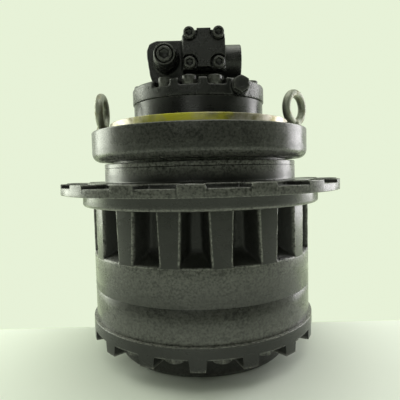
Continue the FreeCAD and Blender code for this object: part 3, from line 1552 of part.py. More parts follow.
def make_valve_parts():
    """Counterbalance spool with its springs and cap, the relief plug and the drain plug."""
    y, z = -S["spool_depth"], S["spool_height"]
    radius, half = S["spool_radius"], S["spool_length"] / 2
    middle = size(-6)
    spool = new_body("counterbalance_spool")
    waist = z + radius - 6
    outline = [(middle - half, z), (middle - half, z + radius)]
    for start, end in ((-0.72, -0.52), (-0.1, 0.1), (0.52, 0.72)):
        outline += [
            (middle + half * start, z + radius),
            (middle + half * start, waist),
            (middle + half * end, waist),
            (middle + half * end, z + radius),
        ]
    outline += [(middle + half, z + radius), (middle + half, z)]
    turn_about_edge(spool, "XZ_Plane", outline, -y)
    springs = new_body("spool_springs")
    cap_face = S["spool_boss_reach"]
    left_end = 15 - S["lobe_reach"]
    for start, length in (
        (left_end, middle - half - left_end),
        (middle + half, cap_face - 16 - middle - half),
    ):
        sketch = new_sketch(springs, "YZ_Plane", start)
        draw_circle(sketch, y, z, radius - 2)
        draw_circle(sketch, y, z, radius - 5)
        pad(springs, sketch, length)
    cap = new_body("spool_cap")
    sketch = new_sketch(cap, "YZ_Plane", cap_face - 16)
    draw_circle(sketch, y, z, radius + 7.95)
    pad(cap, sketch, 15)
    sketch = new_sketch(cap, "YZ_Plane", cap_face - 1)
    draw_outline(sketch, hexagon(y, z, 19))
    pocket(cap, sketch, 10)
    plug = new_body("relief_plug")
    x, z = S["relief_x"], S["relief_z"]
    sketch = new_sketch(plug, "XZ_Plane", S["relief_front"] + 2)
    draw_circle(sketch, x, z, S["relief_radius"] - 6.5)
    pad(plug, sketch, 8, back=True)
    sketch = new_sketch(plug, "XZ_Plane", S["relief_front"] - 6)
    draw_circle(sketch, x, z, S["relief_radius"] - 10.05)
    pad(plug, sketch, 40, back=True)
    sketch = new_sketch(plug, "XZ_Plane", S["relief_front"] + 2)
    draw_outline(sketch, hexagon(x, z, 19))
    pocket(plug, sketch, 12)
    drain = new_body("drain_plug")
    x, z = S["drain_x"], S["drain_z"]
    sketch = new_sketch(drain, "XZ_Plane", S["drain_front"] + 14)
    draw_outline(sketch, hexagon(x, z, 30))
    pad(drain, sketch, 12, back=True)
    sketch = new_sketch(drain, "XZ_Plane", S["drain_front"] + 2)
    draw_circle(sketch, x, z, 17)
    pad(drain, sketch, 2, back=True)
    sketch = new_sketch(drain, "XZ_Plane", S["drain_front"])
    draw_circle(sketch, x, z, 12)
    pad(drain, sketch, 22, back=True)


# --------------------------------------------------------------------------------------
# Build every sub-part
# --------------------------------------------------------------------------------------

make_spindle_housing()
make_bearing_races()
make_bearing_rollers()
make_bearing_nut()
make_face_seal()
make_lifting_eye("lifting_eye_left", -1, 90)
make_lifting_eye("lifting_eye_right", 1, 45)
make_hub()
make_ring_gear()
make_end_cover()
make_cover_bolts()
make_dowels()
make_cover_plugs()
make_planets()
make_sun_gears()
make_carrier_2()
make_carrier_1()
make_pins_and_washers()
make_carrier_bolts()
make_thrust_disc()
make_motor_shaft()
make_shaft_bearings()
make_rotating_group()
make_pistons()
make_swash_plate()
make_brake()
make_motor_cover()
make_cover_screws()
make_port_cover()
make_valve_parts()

for label in ("hub", "end_cover", "cover_bolts", "dowels", "cover_plugs"):
    spin(doc.getObjectsByLabel(label)[0], number("feature_turn"))
doc.recompute()

# --------------------------------------------------------------------------------------
# Check every object, then write every sub-part
# --------------------------------------------------------------------------------------

INSIDE_OTHERS = ("_shank", "_collar", "_ring")


def is_sub_part(item):
    """Tell whether an object is a sub-part and not a step of another one."""
    kinds = ("PartDesign::Body", "Part::Feature", "Part::Torus", "Part::MultiFuse")
    return item.TypeId in kinds and not (
        item.Label.startswith("lifting_eye") and item.Label.endswith(INSIDE_OTHERS))


for item in doc.Objects:
    if "Invalid" in item.State or "Error" in item.State:
        raise RuntimeError(f"{item.Label} is {item.State}")

sub_parts = [item for item in doc.Objects if is_sub_part(item)]
failed = [item.Label for item in sub_parts
          if item.Shape.isNull() or not item.Shape.isValid() or item.Shape.Volume <= 0]
if failed:
    raise RuntimeError(f"no valid shape: {failed}")
for item in sub_parts:
    item.Shape.exportStep(os.path.join("parts", item.Label + ".step"))
print(len(sub_parts), "sub-parts written")
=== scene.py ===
import json
import math

import bmesh
import bpy
import numpy as np
from mathutils import Matrix, Vector


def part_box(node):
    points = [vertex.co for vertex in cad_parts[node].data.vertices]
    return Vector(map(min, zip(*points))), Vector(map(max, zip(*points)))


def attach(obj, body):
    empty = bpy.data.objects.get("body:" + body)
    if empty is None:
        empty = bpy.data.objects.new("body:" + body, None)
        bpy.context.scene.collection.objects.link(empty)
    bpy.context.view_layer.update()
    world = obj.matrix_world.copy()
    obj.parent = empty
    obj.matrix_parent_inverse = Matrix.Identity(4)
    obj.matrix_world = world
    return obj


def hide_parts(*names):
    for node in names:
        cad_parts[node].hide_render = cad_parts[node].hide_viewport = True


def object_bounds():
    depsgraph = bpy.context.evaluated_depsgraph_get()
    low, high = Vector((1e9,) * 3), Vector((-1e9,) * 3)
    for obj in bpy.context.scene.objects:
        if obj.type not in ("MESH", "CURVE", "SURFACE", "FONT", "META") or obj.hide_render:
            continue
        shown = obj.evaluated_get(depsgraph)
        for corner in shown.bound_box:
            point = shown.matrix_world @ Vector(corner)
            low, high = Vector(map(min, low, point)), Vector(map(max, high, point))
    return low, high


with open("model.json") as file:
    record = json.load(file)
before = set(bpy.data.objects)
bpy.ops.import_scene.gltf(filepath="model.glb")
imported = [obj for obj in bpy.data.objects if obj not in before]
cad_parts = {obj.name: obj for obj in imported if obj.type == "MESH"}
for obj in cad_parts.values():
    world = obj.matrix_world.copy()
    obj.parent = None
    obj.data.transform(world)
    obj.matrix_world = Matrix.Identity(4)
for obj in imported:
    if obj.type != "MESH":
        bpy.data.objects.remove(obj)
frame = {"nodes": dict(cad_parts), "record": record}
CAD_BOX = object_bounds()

bl_info = {
    "name": "Excavator final drive",
    "version": (1, 0, 0),
    "blender": (4, 5, 0),
    "location": "3D View > Sidebar > Final drive",
    "description": "Builds the painted castings, bolts and lifting eyes of a crawler's final drive",
    "category": "Add Mesh",
}

MM = 0.001

# Sizes of the inner faces, which the frame's boxes don't give
SEAL_SEAT = 208 * MM
SHOULDER = 172 * MM
SPINDLE = 140 * MM
SPINDLE_BORE = 100 * MM
CHAMBER = 118 * MM
CHAMBER_STEP = -24 * MM
SWASH_FLOOR = -120 * MM
BEARING_POCKET = -148 * MM
SEAL_POCKET = -160 * MM
FLOOR_BOTTOM = -164 * MM
CUP = 186 * MM
CUP_LIP = 15 * MM
LOWER_SHOULDER = -206.6 * MM
UPPER_SHOULDER = -146 * MM
SEAL_FLOOR = -87.5 * MM
DRUM = 201 * MM
COVER_WALL = 15 * MM
PLUG_CIRCLE = 150 * MM
TAPPED_RADIUS = 10.5 * MM
TAPPED_DEPTH = 42 * MM
SPROCKET_HOLE_INSET = 23.7 * MM
SCREW_CIRCLE = 137 * MM
SCREW_STEPS = 16
SCREW_GAPS = (2, 14)
FIRST_SCREW = math.radians(-97.5)
SCREW_PITCH = math.radians(22.5)


# ------------------------------------------------------------------------------------------
# Places read from the frame
# ------------------------------------------------------------------------------------------


def reach(node):
    """Greatest distance of a node from the axis of rotation."""
    return max(math.hypot(v.co.x, v.co.y) for v in frame["nodes"][node].data.vertices)


def bottom(node):
    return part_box(node)[0].z


def top(node):
    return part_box(node)[1].z


def middle(node):
    low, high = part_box(node)
    return (low + high) / 2


# ------------------------------------------------------------------------------------------
# Sizes and colours that a user may change
# ------------------------------------------------------------------------------------------


def length(name, description, default):
    return bpy.props.FloatProperty(
        name=name, description=description, default=default, min=0.0,
        subtype="DISTANCE", unit="LENGTH")


def angle(name, description, degrees):
    return bpy.props.FloatProperty(
        name=name, description=description, default=math.radians(degrees),
        subtype="ANGLE", unit="ROTATION")


def colour(name, description, default):
    return bpy.props.FloatVectorProperty(
        name=name, description=description, default=default, size=3, min=0.0, max=1.0,
        subtype="COLOR")


class FinalDriveSizes(bpy.types.PropertyGroup):
    edge_round: length("Edge round", "Radius that the paint leaves on machined edges", 0.0014)
    cast_round: length("Cast round", "Radius in the corners of the castings", 0.009)
    recess_depth: length("Recess depth", "Depth of the notches in the sprocket flange", 0.0075)
    recess_length: length("Recess length", "How far the notches run in from the rim", 0.0557)
    neck_radius: length("Neck radius", "Radius of the hub's neck", 0.2258)
    neck_length: length("Neck length", "Height of the neck above the sprocket flange", 0.042)
    seal_gap: length("Seal gap", "Gap between the turning hub and the fixed flange", 0.005)
    sprocket_thickness: length("Sprocket flange", "Thickness of the sprocket flange", 0.0235)
    pilot_height: length("Pilot height", "Height of the band that centres the sprocket", 0.0275)
    pilot_step: length("Pilot step", "How far the band stands out past the ring gear", 0.022)
    casing_radius: length("Casing radius", "Radius of the motor casing", 0.153)
    frame_land: length("Frame land", "Width of the face that meets the crawler frame", 0.0425)
    spigot_height: length("Spigot height", "Height of the spigot in the crawler frame", 0.02)
    frame_hole_inset: length("Frame hole inset", "Frame holes' distance from the edge", 0.0245)
    frame_holes: bpy.props.IntProperty(
        name="Frame holes", description="Number of tapped holes for the frame's bolts",
        default=20, min=3)
    bolt_height: length("Bolt height", "Height of the cover bolts' heads", 0.015)
    gear_module: length("Gear module", "Module of the ring gear's teeth", 0.006)
    ring_teeth: bpy.props.IntProperty(
        name="Ring teeth", description="Number of teeth inside the ring gear", default=66,
        min=20)
    pad_half_angle: angle("Pad half angle", "Half the width of a pad between two notches", 4.35)
    pocket_top: length("Pocket top", "Half the width of a rib pocket at its top", 0.0255)
    pocket_bottom: length("Pocket bottom", "Half the width of a rib pocket at its foot", 0.0295)
    pocket_depth: length("Pocket depth", "How deep the pockets lie behind the ribs", 0.0405)
    sprocket_hole: length("Sprocket hole", "Radius of the holes for the sprocket's bolts", 0.013)
    guard_top: length("Guard top", "Width of a guard block where it joins the rim", 0.034)
    guard_foot: length("Guard foot", "Width of a guard block at its foot", 0.029)
    guard_height: length("Guard height", "How far the guard blocks stand below the rim", 0.0226)
    bolt_flats: length("Bolt flats", "Size across the flats of the cover bolts", 0.036)
    screw_head: length("Screw head", "Radius of the motor cover's screw heads", 0.015)
    cast_voxel: length("Casting grid", "Grid on which the motor castings are blended", 0.0023)
    features: bpy.props.IntProperty(
        name="Features", description="Number of ribs, notches, guards and cover bolts",
        default=16, min=3)
    feature_turn: angle("Feature turn", "Turn of the hub at rest", -2.7)


class FinalDriveColours(bpy.types.PropertyGroup):
    paint: colour("Paint", "Satin black paint", (0.011, 0.011, 0.0105))
    paint_dust: colour("Dust", "Dust and overspray on the paint", (0.115, 0.120, 0.100))
    # Pale colour for the edges: paint abraded thin there, and also a painted highlight along the
    # bevels
    worn_edge_and_highlight: colour("Worn edge and highlight", "Paint rubbed thin along the edges", (0.36, 0.36, 0.33))
    yellow: colour("Yellow", "Yellow lacquer left on the spigot", (0.66, 0.62, 0.03))
    bare_steel: colour("Bare steel", "Machined steel without paint", (0.50, 0.46, 0.40))
    tarnish: colour("Tarnish", "Brown and olive tarnish on bare steel", (0.17, 0.15, 0.06))
    zinc: colour("Zinc", "Dull zinc on the lifting eyes", (0.30, 0.31, 0.26))
    iron: colour("Iron", "Grey iron as cast", (0.16, 0.16, 0.155))
    bronze: colour("Bronze", "Bronze bushes and discs", (0.50, 0.33, 0.15))
    rubber: colour("Rubber", "Seal rubber", (0.022, 0.022, 0.022))
    wall: colour("Wall", "Wall behind the drive", (0.80, 0.885, 0.685))
    floor: colour("Floor", "Floor under the drive", (0.86, 0.90, 0.83))


# ------------------------------------------------------------------------------------------
# Meshes
# ------------------------------------------------------------------------------------------


def rounded(corners, radii, steps=4, closed=False):
    """Replace the corners of a line by arcs.  A radius of 0 keeps its corner sharp."""
    corners = [np.array(c, float) for c in corners]
    count = len(corners)
    line = []
    for index, corner in enumerate(corners):
        radius = radii[index] if isinstance(radii, (list, tuple)) else radii
        at_end = not closed and index in (0, count - 1)
        if radius <= 0 or at_end:
            line.append(corner)
            continue
        back = corners[index - 1] - corner
        ahead = corners[(index + 1) % count] - corner
        long_back, long_ahead = np.linalg.norm(back), np.linalg.norm(ahead)
        back, ahead = back / long_back, ahead / long_ahead
        half = math.acos(float(np.clip(back @ ahead, -1, 1))) / 2
        if half > math.radians(88):
            line.append(corner)
            continue
        run = min(radius / math.tan(half), 0.48 * long_back, 0.48 * long_ahead)
        radius = run * math.tan(half)
        centre = corner + (back + ahead) / np.linalg.norm(back + ahead) * radius / math.sin(half)
        start, end = corner + back * run - centre, corner + ahead * run - centre
        sweep = math.pi - 2 * half
        for step in range(steps + 1):
            share = step / steps
            mixed = (math.sin((1 - share) * sweep) * start + math.sin(share * sweep) * end)
            line.append(centre + mixed / math.sin(sweep))
    return np.array(line)


def tidy_mesh(mesh, weld=1e-6, sharp=38):
    """Merge doubles, turn every face outwards and shade it smooth between sharp edges."""
    work = bmesh.new()
    work.from_mesh(mesh)
    bmesh.ops.remove_doubles(work, verts=work.verts, dist=weld)
    bmesh.ops.dissolve_degenerate(work, edges=work.edges, dist=weld)
    bmesh.ops.recalc_face_normals(work, faces=work.faces)
    work.to_mesh(mesh)
    work.free()
    shade(mesh, sharp)
    return mesh


def shade(mesh, sharp=38):
    mesh.polygons.foreach_set("use_smooth", [True] * len(mesh.polygons))
    mesh.set_sharp_from_angle(angle=math.radians(sharp))
    mesh.update()


def woven(name, rows, around=True, closed=True):
    """Mesh of quads over rows of points.  Around joins a row's ends, closed the outer rows."""
    rows = np.asarray(rows, float)
    deep, wide = rows.shape[:2]
    grid = np.arange(deep * wide).reshape(deep, wide)
    if around:
        grid = np.hstack([grid, grid[:, :1]])
    if closed:
        grid = np.vstack([grid, grid[:1]])
    quads = np.stack([grid[:-1, :-1], grid[:-1, 1:], grid[1:, 1:], grid[1:, :-1]], -1)
    mesh = bpy.data.meshes.new(name)
    mesh.from_pydata(rows.reshape(-1, 3).tolist(), [], quads.reshape(-1, 4).tolist())
    return mesh


def turned(name, profile, count=192, closed=True):
    """Body of revolution from points of radius and height, in metres."""
    turns = np.linspace(0, 2 * math.pi, count, endpoint=False)
    profile = np.asarray(profile, float)
    rows = np.empty((len(profile), count, 3))
    rows[..., 0] = profile[:, :1] * np.cos(turns)
    rows[..., 1] = profile[:, :1] * np.sin(turns)
    rows[..., 2] = profile[:, 1:]
    return tidy_mesh(woven(name, rows, closed=closed))


def joined(name, meshes):
    """One mesh from several."""
    work = bmesh.new()
    for mesh in meshes:
        work.from_mesh(mesh)
    made = bpy.data.meshes.new(name)
    work.to_mesh(made)
    work.free()
    return made


def new_object(name, mesh):
    made = bpy.data.objects.new(name, mesh)
    bpy.context.scene.collection.objects.link(made)
    return made


def evaluated(obj):
    """Plain mesh of an object with its modifiers, which are then removed."""
    bpy.context.view_layer.update()
    graph = bpy.context.evaluated_depsgraph_get()
    mesh = bpy.data.meshes.new_from_object(obj.evaluated_get(graph), depsgraph=graph)
    obj.modifiers.clear()
    obj.data = mesh
    return mesh


def drop(obj):
    bpy.data.objects.remove(obj)


def drilled(obj, tools):
    """Cut a mesh of drills out of an object."""
    cutter = new_object("drills", tools)
    cut = obj.modifiers.new("drill", "BOOLEAN")
    cut.operation = "DIFFERENCE"
    cut.solver = "MANIFOLD"
    cut.object = cutter
    before = len(obj.data.polygons)
    evaluated(obj)
    if len(obj.data.polygons) in (0, before):
        raise RuntimeError(f"the drills leave no mark on {obj.name}")
    drop(cutter)
    tidy_mesh(obj.data)
    return obj


def drill(radius, low, high, x, y, chamfer=0.0015, count=40, both=True):
    """Closed drill along Z with a countersink at its top end, and at its foot too."""
    over = 0.002
    foot = radius + (chamfer if both else 0)
    profile = [(0, low - over)]
    if both:
        profile += [(foot + over, low - over), (radius, low + chamfer)]
    else:
        profile += [(radius, low - over)]
    profile += [(radius, high - chamfer), (radius + chamfer + over, high + over),
                (0, high + over)]
    mesh = turned("drill", profile, count, closed=False)
    mesh.transform(Matrix.Translation((x, y, 0)))
    return mesh


def polar(radius, degrees):
    return radius * math.cos(math.radians(degrees)), radius * math.sin(math.radians(degrees))


HEAD_SAMPLES = 48


def flat_radius(flats, count=HEAD_SAMPLES, corners=6):
    """Radii of a regular outline with the given size across its flats."""
    pitch = 2 * math.pi / corners
    turns = np.linspace(0, 2 * math.pi, count, endpoint=False)
    return flats / 2 / np.cos((turns + pitch / 2) % pitch - pitch / 2)


def stacked(name, rings, count=HEAD_SAMPLES):
    """Closed body from rings, each a radius and a height that may vary round the ring."""
    turns = np.linspace(0, 2 * math.pi, count, endpoint=False)
    rows = np.empty((len(rings), count, 3))
    for row, (radius, height) in zip(rows, rings):
        row[:, 0] = radius * np.cos(turns)
        row[:, 1] = radius * np.sin(turns)
        row[:, 2] = height
    return tidy_mesh(woven(name, rows, closed=False))


def hex_bolt(name, flats, head, shank, long, washer=0.0):
    """Hexagon bolt along Z with its head on top and its seat at height 0."""
    flat = flat_radius(flats)
    face = flats / 2 * 0.95
    bevel = (flat - face) * math.tan(math.radians(30))
    rings = [(0.0, -long), (shank - 0.0015, -long), (shank, 0.0015 - long), (shank, 0)]
    if washer:
        rings += [(washer, 0), (washer + 0.0004, 0.0004), (washer + 0.0004, 0.0026),
                  (washer, 0.003), (flats / 2 * 0.96, 0.003)]
    rise = 0.003 if washer else 0
    rings += [
        (flats / 2 * 0.96, rise), (flats / 2 * 0.96, rise + 0.0008),
        (flat - 0.0004, rise + 0.0008), (flat, rise + 0.0014),
        (flat, head - bevel - 0.0004), (flat - 0.0004, head - bevel),
        (face + 0.0002, head - 0.0001), (face - 0.001, head),
        (face * 0.55, head), (face * 0.5, head - 0.0006), (0.0, head - 0.0006),
    ]
    return stacked(name, rings)


def socket_screw(name, radius, head, flats, deep, shank, long, knurl=0.0):
    """Socket screw along Z with its head on top and its seat at height 0."""
    count = 2 * HEAD_SAMPLES
    socket = flat_radius(flats, count)
    turns = np.linspace(0, 2 * math.pi, count, endpoint=False)
    grip = radius - knurl * (0.5 + 0.5 * np.cos(turns * HEAD_SAMPLES))
    rings = [
        (0.0, -long), (shank - 0.001, -long), (shank, 0.001 - long), (shank, 0.0),
        (radius - 0.001, 0.0), (grip, 0.001), (grip, head - 0.0022),
        (radius - 0.0005, head - 0.0012), (radius - 0.0013, head - 0.0003),
        (radius - 0.0022, head), (socket + 0.0012, head), (socket + 0.0004, head - 0.0003),
        (socket, head - 0.0012), (socket, head - deep),
        (socket * 0.9, head - deep - 0.0006), (0.0, head - deep - 0.003),
    ]
    return stacked(name, rings, count)


# ------------------------------------------------------------------------------------------
# Geometry Nodes that repeat a shape
# ------------------------------------------------------------------------------------------


def new_tree(name, inputs):
    """Empty modifier tree with named inputs, and the node at each end."""
    tree = bpy.data.node_groups.new(name, "GeometryNodeTree")
    tree.interface.new_socket("Geometry", in_out="INPUT", socket_type="NodeSocketGeometry")
    for label, kind in inputs:
        tree.interface.new_socket(label, in_out="INPUT", socket_type="NodeSocket" + kind)
    tree.interface.new_socket("Geometry", in_out="OUTPUT", socket_type="NodeSocketGeometry")
    return tree, tree.nodes.new("NodeGroupInput"), tree.nodes.new("NodeGroupOutput")


def link(tree, start, end):
    tree.links.new(start, end)


def maths(tree, operation, first, second):
    """Math node whose operands are sockets or numbers."""
    node = tree.nodes.new("ShaderNodeMath")
    node.operation = operation
    for socket, value in zip(node.inputs, (first, second)):
        if isinstance(value, (int, float)):
            socket.default_value = value
        else:
            link(tree, value, socket)
    return node.outputs[0]


def finish_copies(tree, instances, source, end):
    """Realize the copies, weld what touches and give them their material."""
    real = tree.nodes.new("GeometryNodeRealizeInstances")
    weld = tree.nodes.new("GeometryNodeMergeByDistance")
    material = tree.nodes.new("GeometryNodeSetMaterial")
    link(tree, instances, real.inputs["Geometry"])
    link(tree, real.outputs["Geometry"], weld.inputs["Geometry"])
    link(tree, source.outputs["Weld"], weld.inputs["Distance"])
    link(tree, weld.outputs["Geometry"], material.inputs["Geometry"])
    link(tree, source.outputs["Material"], material.inputs["Material"])
    link(tree, material.outputs["Geometry"], end.inputs["Geometry"])


def make_polar_tree():
    """Copies turned about the Z axis, with up to two left out."""
    tree, source, end = new_tree("polar_copies", [
        ("Count", "Int"), ("Start", "Float"), ("Step", "Float"), ("First gap", "Int"),
        ("Second gap", "Int"), ("Weld", "Float"), ("Material", "Material")])
    points = tree.nodes.new("GeometryNodePoints")
    index = tree.nodes.new("GeometryNodeInputIndex").outputs[0]
    place = tree.nodes.new("GeometryNodeInstanceOnPoints")
    turn = tree.nodes.new("ShaderNodeCombineXYZ")
    link(tree, source.outputs["Count"], points.inputs["Count"])
    angle_at = maths(tree, "MULTIPLY", index, source.outputs["Step"])
    angle_at = maths(tree, "ADD", angle_at, source.outputs["Start"])
    link(tree, angle_at, turn.inputs["Z"])
    kept = None
    for gap in ("First gap", "Second gap"):
        away = maths(tree, "SUBTRACT", index, source.outputs[gap])
        away = maths(tree, "ABSOLUTE", away, 0)
        here = maths(tree, "GREATER_THAN", away, 0.5)
        kept = here if kept is None else maths(tree, "MULTIPLY", kept, here)
    link(tree, points.outputs[0], place.inputs["Points"])
    link(tree, source.outputs["Geometry"], place.inputs["Instance"])
    link(tree, kept, place.inputs["Selection"])
    link(tree, turn.outputs[0], place.inputs["Rotation"])
    finish_copies(tree, place.outputs["Instances"], source, end)
    return tree


def make_grid_tree():
    """Copies at the corners of a rectangle that stands in the XZ plane."""
    tree, source, end = new_tree("corner_copies", [
        ("Width", "Float"), ("Height", "Float"), ("Centre", "Vector"), ("Weld", "Float"),
        ("Material", "Material")])
    grid = tree.nodes.new("GeometryNodeMeshGrid")
    grid.inputs["Vertices X"].default_value = 2
    grid.inputs["Vertices Y"].default_value = 2
    stand = tree.nodes.new("GeometryNodeTransform")
    stand.inputs["Rotation"].default_value = (math.radians(90), 0, 0)
    place = tree.nodes.new("GeometryNodeInstanceOnPoints")
    link(tree, source.outputs["Width"], grid.inputs["Size X"])
    link(tree, source.outputs["Height"], grid.inputs["Size Y"])
    link(tree, grid.outputs["Mesh"], stand.inputs["Geometry"])
    link(tree, source.outputs["Centre"], stand.inputs["Translation"])
    link(tree, stand.outputs["Geometry"], place.inputs["Points"])
    link(tree, source.outputs["Geometry"], place.inputs["Instance"])
    finish_copies(tree, place.outputs["Instances"], source, end)
    return tree


def repeated(obj, tree, values):
    """Run a tree on an object and keep the result as its plain mesh."""
    modifier = obj.modifiers.new(tree.name, "NODES")
    modifier.node_group = tree
    sockets = {s.name: s.identifier for s in tree.interface.items_tree
               if s.item_type == "SOCKET" and s.in_out == "INPUT"}
    for name, value in values.items():
        modifier[sockets[name]] = value
    evaluated(obj)
    shade(obj.data)
    return obj


def polar_copies(obj, count, start, step, material, weld=1e-6, gaps=(-1, -1)):
    tree = bpy.data.node_groups.get("polar_copies") or make_polar_tree()
    return repeated(obj, tree, {
        "Count": count, "Start": start, "Step": step, "First gap": gaps[0],
        "Second gap": gaps[1], "Weld": weld, "Material": material})


def corner_copies(obj, width, height, centre, material):
    tree = bpy.data.node_groups.get("corner_copies") or make_grid_tree()
    return repeated(obj, tree, {
        "Width": width, "Height": height, "Centre": centre, "Weld": 1e-6,
        "Material": material})


# ------------------------------------------------------------------------------------------
# Finishes
# ------------------------------------------------------------------------------------------


def new_group(name, inputs, outputs):
    """Empty shader group, and its end nodes."""
    group = bpy.data.node_groups.new(name, "ShaderNodeTree")
    for label, default in inputs:
        socket = group.interface.new_socket(label, in_out="INPUT", socket_type="NodeSocketFloat")
        socket.default_value = default
    for label in outputs:
        group.interface.new_socket(label, in_out="OUTPUT", socket_type="NodeSocketFloat")
    return group, group.nodes.new("NodeGroupInput"), group.nodes.new("NodeGroupOutput")


def object_place(tree):
    return tree.nodes.new("ShaderNodeTexCoord").outputs["Object"]


def noise(tree, place, scale, detail=4.0, rough=0.55):
    """Factor of a noise texture.  The scale may be a number or a socket."""
    node = tree.nodes.new("ShaderNodeTexNoise")
    link(tree, place, node.inputs["Vector"])
    if isinstance(scale, (int, float)):
        node.inputs["Scale"].default_value = scale
    else:
        link(tree, scale, node.inputs["Scale"])
    node.inputs["Detail"].default_value = detail
    node.inputs["Roughness"].default_value = rough
    return node.outputs["Fac"]


def ramp(tree, value, low, high, start=0.0, end=1.0):
    """Straight ramp between two values, held at its ends."""
    node = tree.nodes.new("ShaderNodeMapRange")
    for socket, amount in zip(node.inputs, (value, low, high, start, end)):
        if isinstance(amount, (int, float)):
            socket.default_value = amount
        else:
            link(tree, amount, socket)
    return node.outputs["Result"]


def mixed(tree, share, first, second):
    """Mix of two colours, each a socket or a plain colour."""
    node = tree.nodes.new("ShaderNodeMix")
    node.data_type = "RGBA"
    if isinstance(share, (int, float)):
        node.inputs[0].default_value = share
    else:
        link(tree, share, node.inputs[0])
    for socket, tint in ((node.inputs[6], first), (node.inputs[7], second)):
        if isinstance(tint, bpy.types.NodeSocket):
            link(tree, tint, socket)
        else:
            socket.default_value = (*tint, 1.0)
    return node.outputs[2]


def make_edge_wear_and_highlight():
    """Mask of the edges, broken up by noise: paint abraded thin there, and a painted highlight along
    the bevels.
    """
    group, start, end = new_group("edge_wear", [
        ("Low", 0.51), ("High", 0.56), ("Break up", 220.0)], ["Mask"])
    point = group.nodes.new("ShaderNodeNewGeometry").outputs["Pointiness"]
    sharp = ramp(group, point, start.outputs["Low"], start.outputs["High"])
    patches = noise(group, object_place(group), start.outputs["Break up"], 5.0, 0.6)
    patches = ramp(group, patches, 0.36, 0.58, 0.12, 1.0)
    link(group, maths(group, "MULTIPLY", sharp, patches), end.inputs["Mask"])
    return group


def make_cast_grain():
    """Rough skin of a sand casting: lumps, grains and small pits."""
    group, start, end = new_group("cast_grain", [
        ("Lumps", 90.0), ("Grain", 520.0)], ["Height", "Pits"])
    place = object_place(group)
    lumps = noise(group, place, start.outputs["Lumps"], 3.0, 0.5)
    grain = noise(group, place, start.outputs["Grain"], 4.0, 0.65)
    cells = group.nodes.new("ShaderNodeTexVoronoi")
    link(group, place, cells.inputs["Vector"])
    link(group, start.outputs["Grain"], cells.inputs["Scale"])
    pits = ramp(group, cells.outputs["Distance"], 0.12, 0.34, 1.0, 0.0)
    height = maths(group, "MULTIPLY", lumps, 1.2)
    height = maths(group, "ADD", height, maths(group, "MULTIPLY", grain, 0.8))
    height = maths(group, "SUBTRACT", height, maths(group, "MULTIPLY", pits, 0.35))
    link(group, height, end.inputs["Height"])
    link(group, pits, end.inputs["Pits"])
    return group


def make_turning_marks():
    """Fine rings left by the lathe about the axis of rotation."""
    group, start, end = new_group("turning_marks", [("Lines", 900.0)], ["Height", "Bands"])
    split = group.nodes.new("ShaderNodeSeparateXYZ")
    link(group, object_place(group), split.inputs[0])
    x, y, z = split.outputs
    across = maths(group, "MULTIPLY", x, x)
    radius = maths(group, "POWER", maths(group, "ADD", across, maths(group, "MULTIPLY", y, y)), 0.5)
    along = group.nodes.new("ShaderNodeCombineXYZ")
    link(group, radius, along.inputs["X"])
    link(group, z, along.inputs["Y"])
    link(group, maths(group, "MULTIPLY", x, 0.012), along.inputs["Z"])
    fine = noise(group, along.outputs[0], start.outputs["Lines"], 2.0, 0.7)
    bands = noise(group, along.outputs[0], maths(group, "MULTIPLY", start.outputs["Lines"], 0.06),
                  3.0, 0.6)
    link(group, fine, end.inputs["Height"])
    link(group, bands, end.inputs["Bands"])
    return group


def make_dust():
    """Mask of dust that lies on faces turned upwards and in soft patches elsewhere."""
    group, start, end = new_group("dust", [("Amount", 0.4), ("Patches", 14.0)], ["Mask"])
    split = group.nodes.new("ShaderNodeSeparateXYZ")
    link(group, group.nodes.new("ShaderNodeNewGeometry").outputs["Normal"], split.inputs[0])
    upward = ramp(group, split.outputs["Z"], 0.2, 0.95, 0.05, 1.0)
    place = object_place(group)
    patches = noise(group, place, start.outputs["Patches"], 6.0, 0.62)
    patches = ramp(group, patches, 0.38, 0.68)
    specks = ramp(group, noise(group, place, 700.0, 2.0, 0.5), 0.42, 0.7, 0.6, 1.0)
    mask = maths(group, "MULTIPLY", maths(group, "MULTIPLY", upward, patches), specks)
    link(group, maths(group, "MULTIPLY", mask, start.outputs["Amount"]), end.inputs["Mask"])
    return group


GROUP_MAKERS = {
    "edge_wear": make_edge_wear_and_highlight,
    "cast_grain": make_cast_grain,
    "turning_marks": make_turning_marks,
    "dust": make_dust,
}


def effect(tree, name, **values):
    """Place one of the shared groups in a material with its own values."""
    node = tree.nodes.new("ShaderNodeGroup")
    node.node_tree = bpy.data.node_groups.get(name) or GROUP_MAKERS[name]()
    for label, value in values.items():
        node.inputs[label.replace("_", " ")].default_value = value
    return node.outputs


def new_material(name):
    material = bpy.data.materials.new(name)
    material.use_nodes = True
    return material, material.node_tree, material.node_tree.nodes["Principled BSDF"]


def add_bump(tree, shader, height, depth, strength=1.0):
    bump = tree.nodes.new("ShaderNodeBump")
    bump.inputs["Strength"].default_value = strength
    bump.inputs["Distance"].default_value = depth
    link(tree, height, bump.inputs["Height"])
    link(tree, bump.outputs["Normal"], shader.inputs["Normal"])


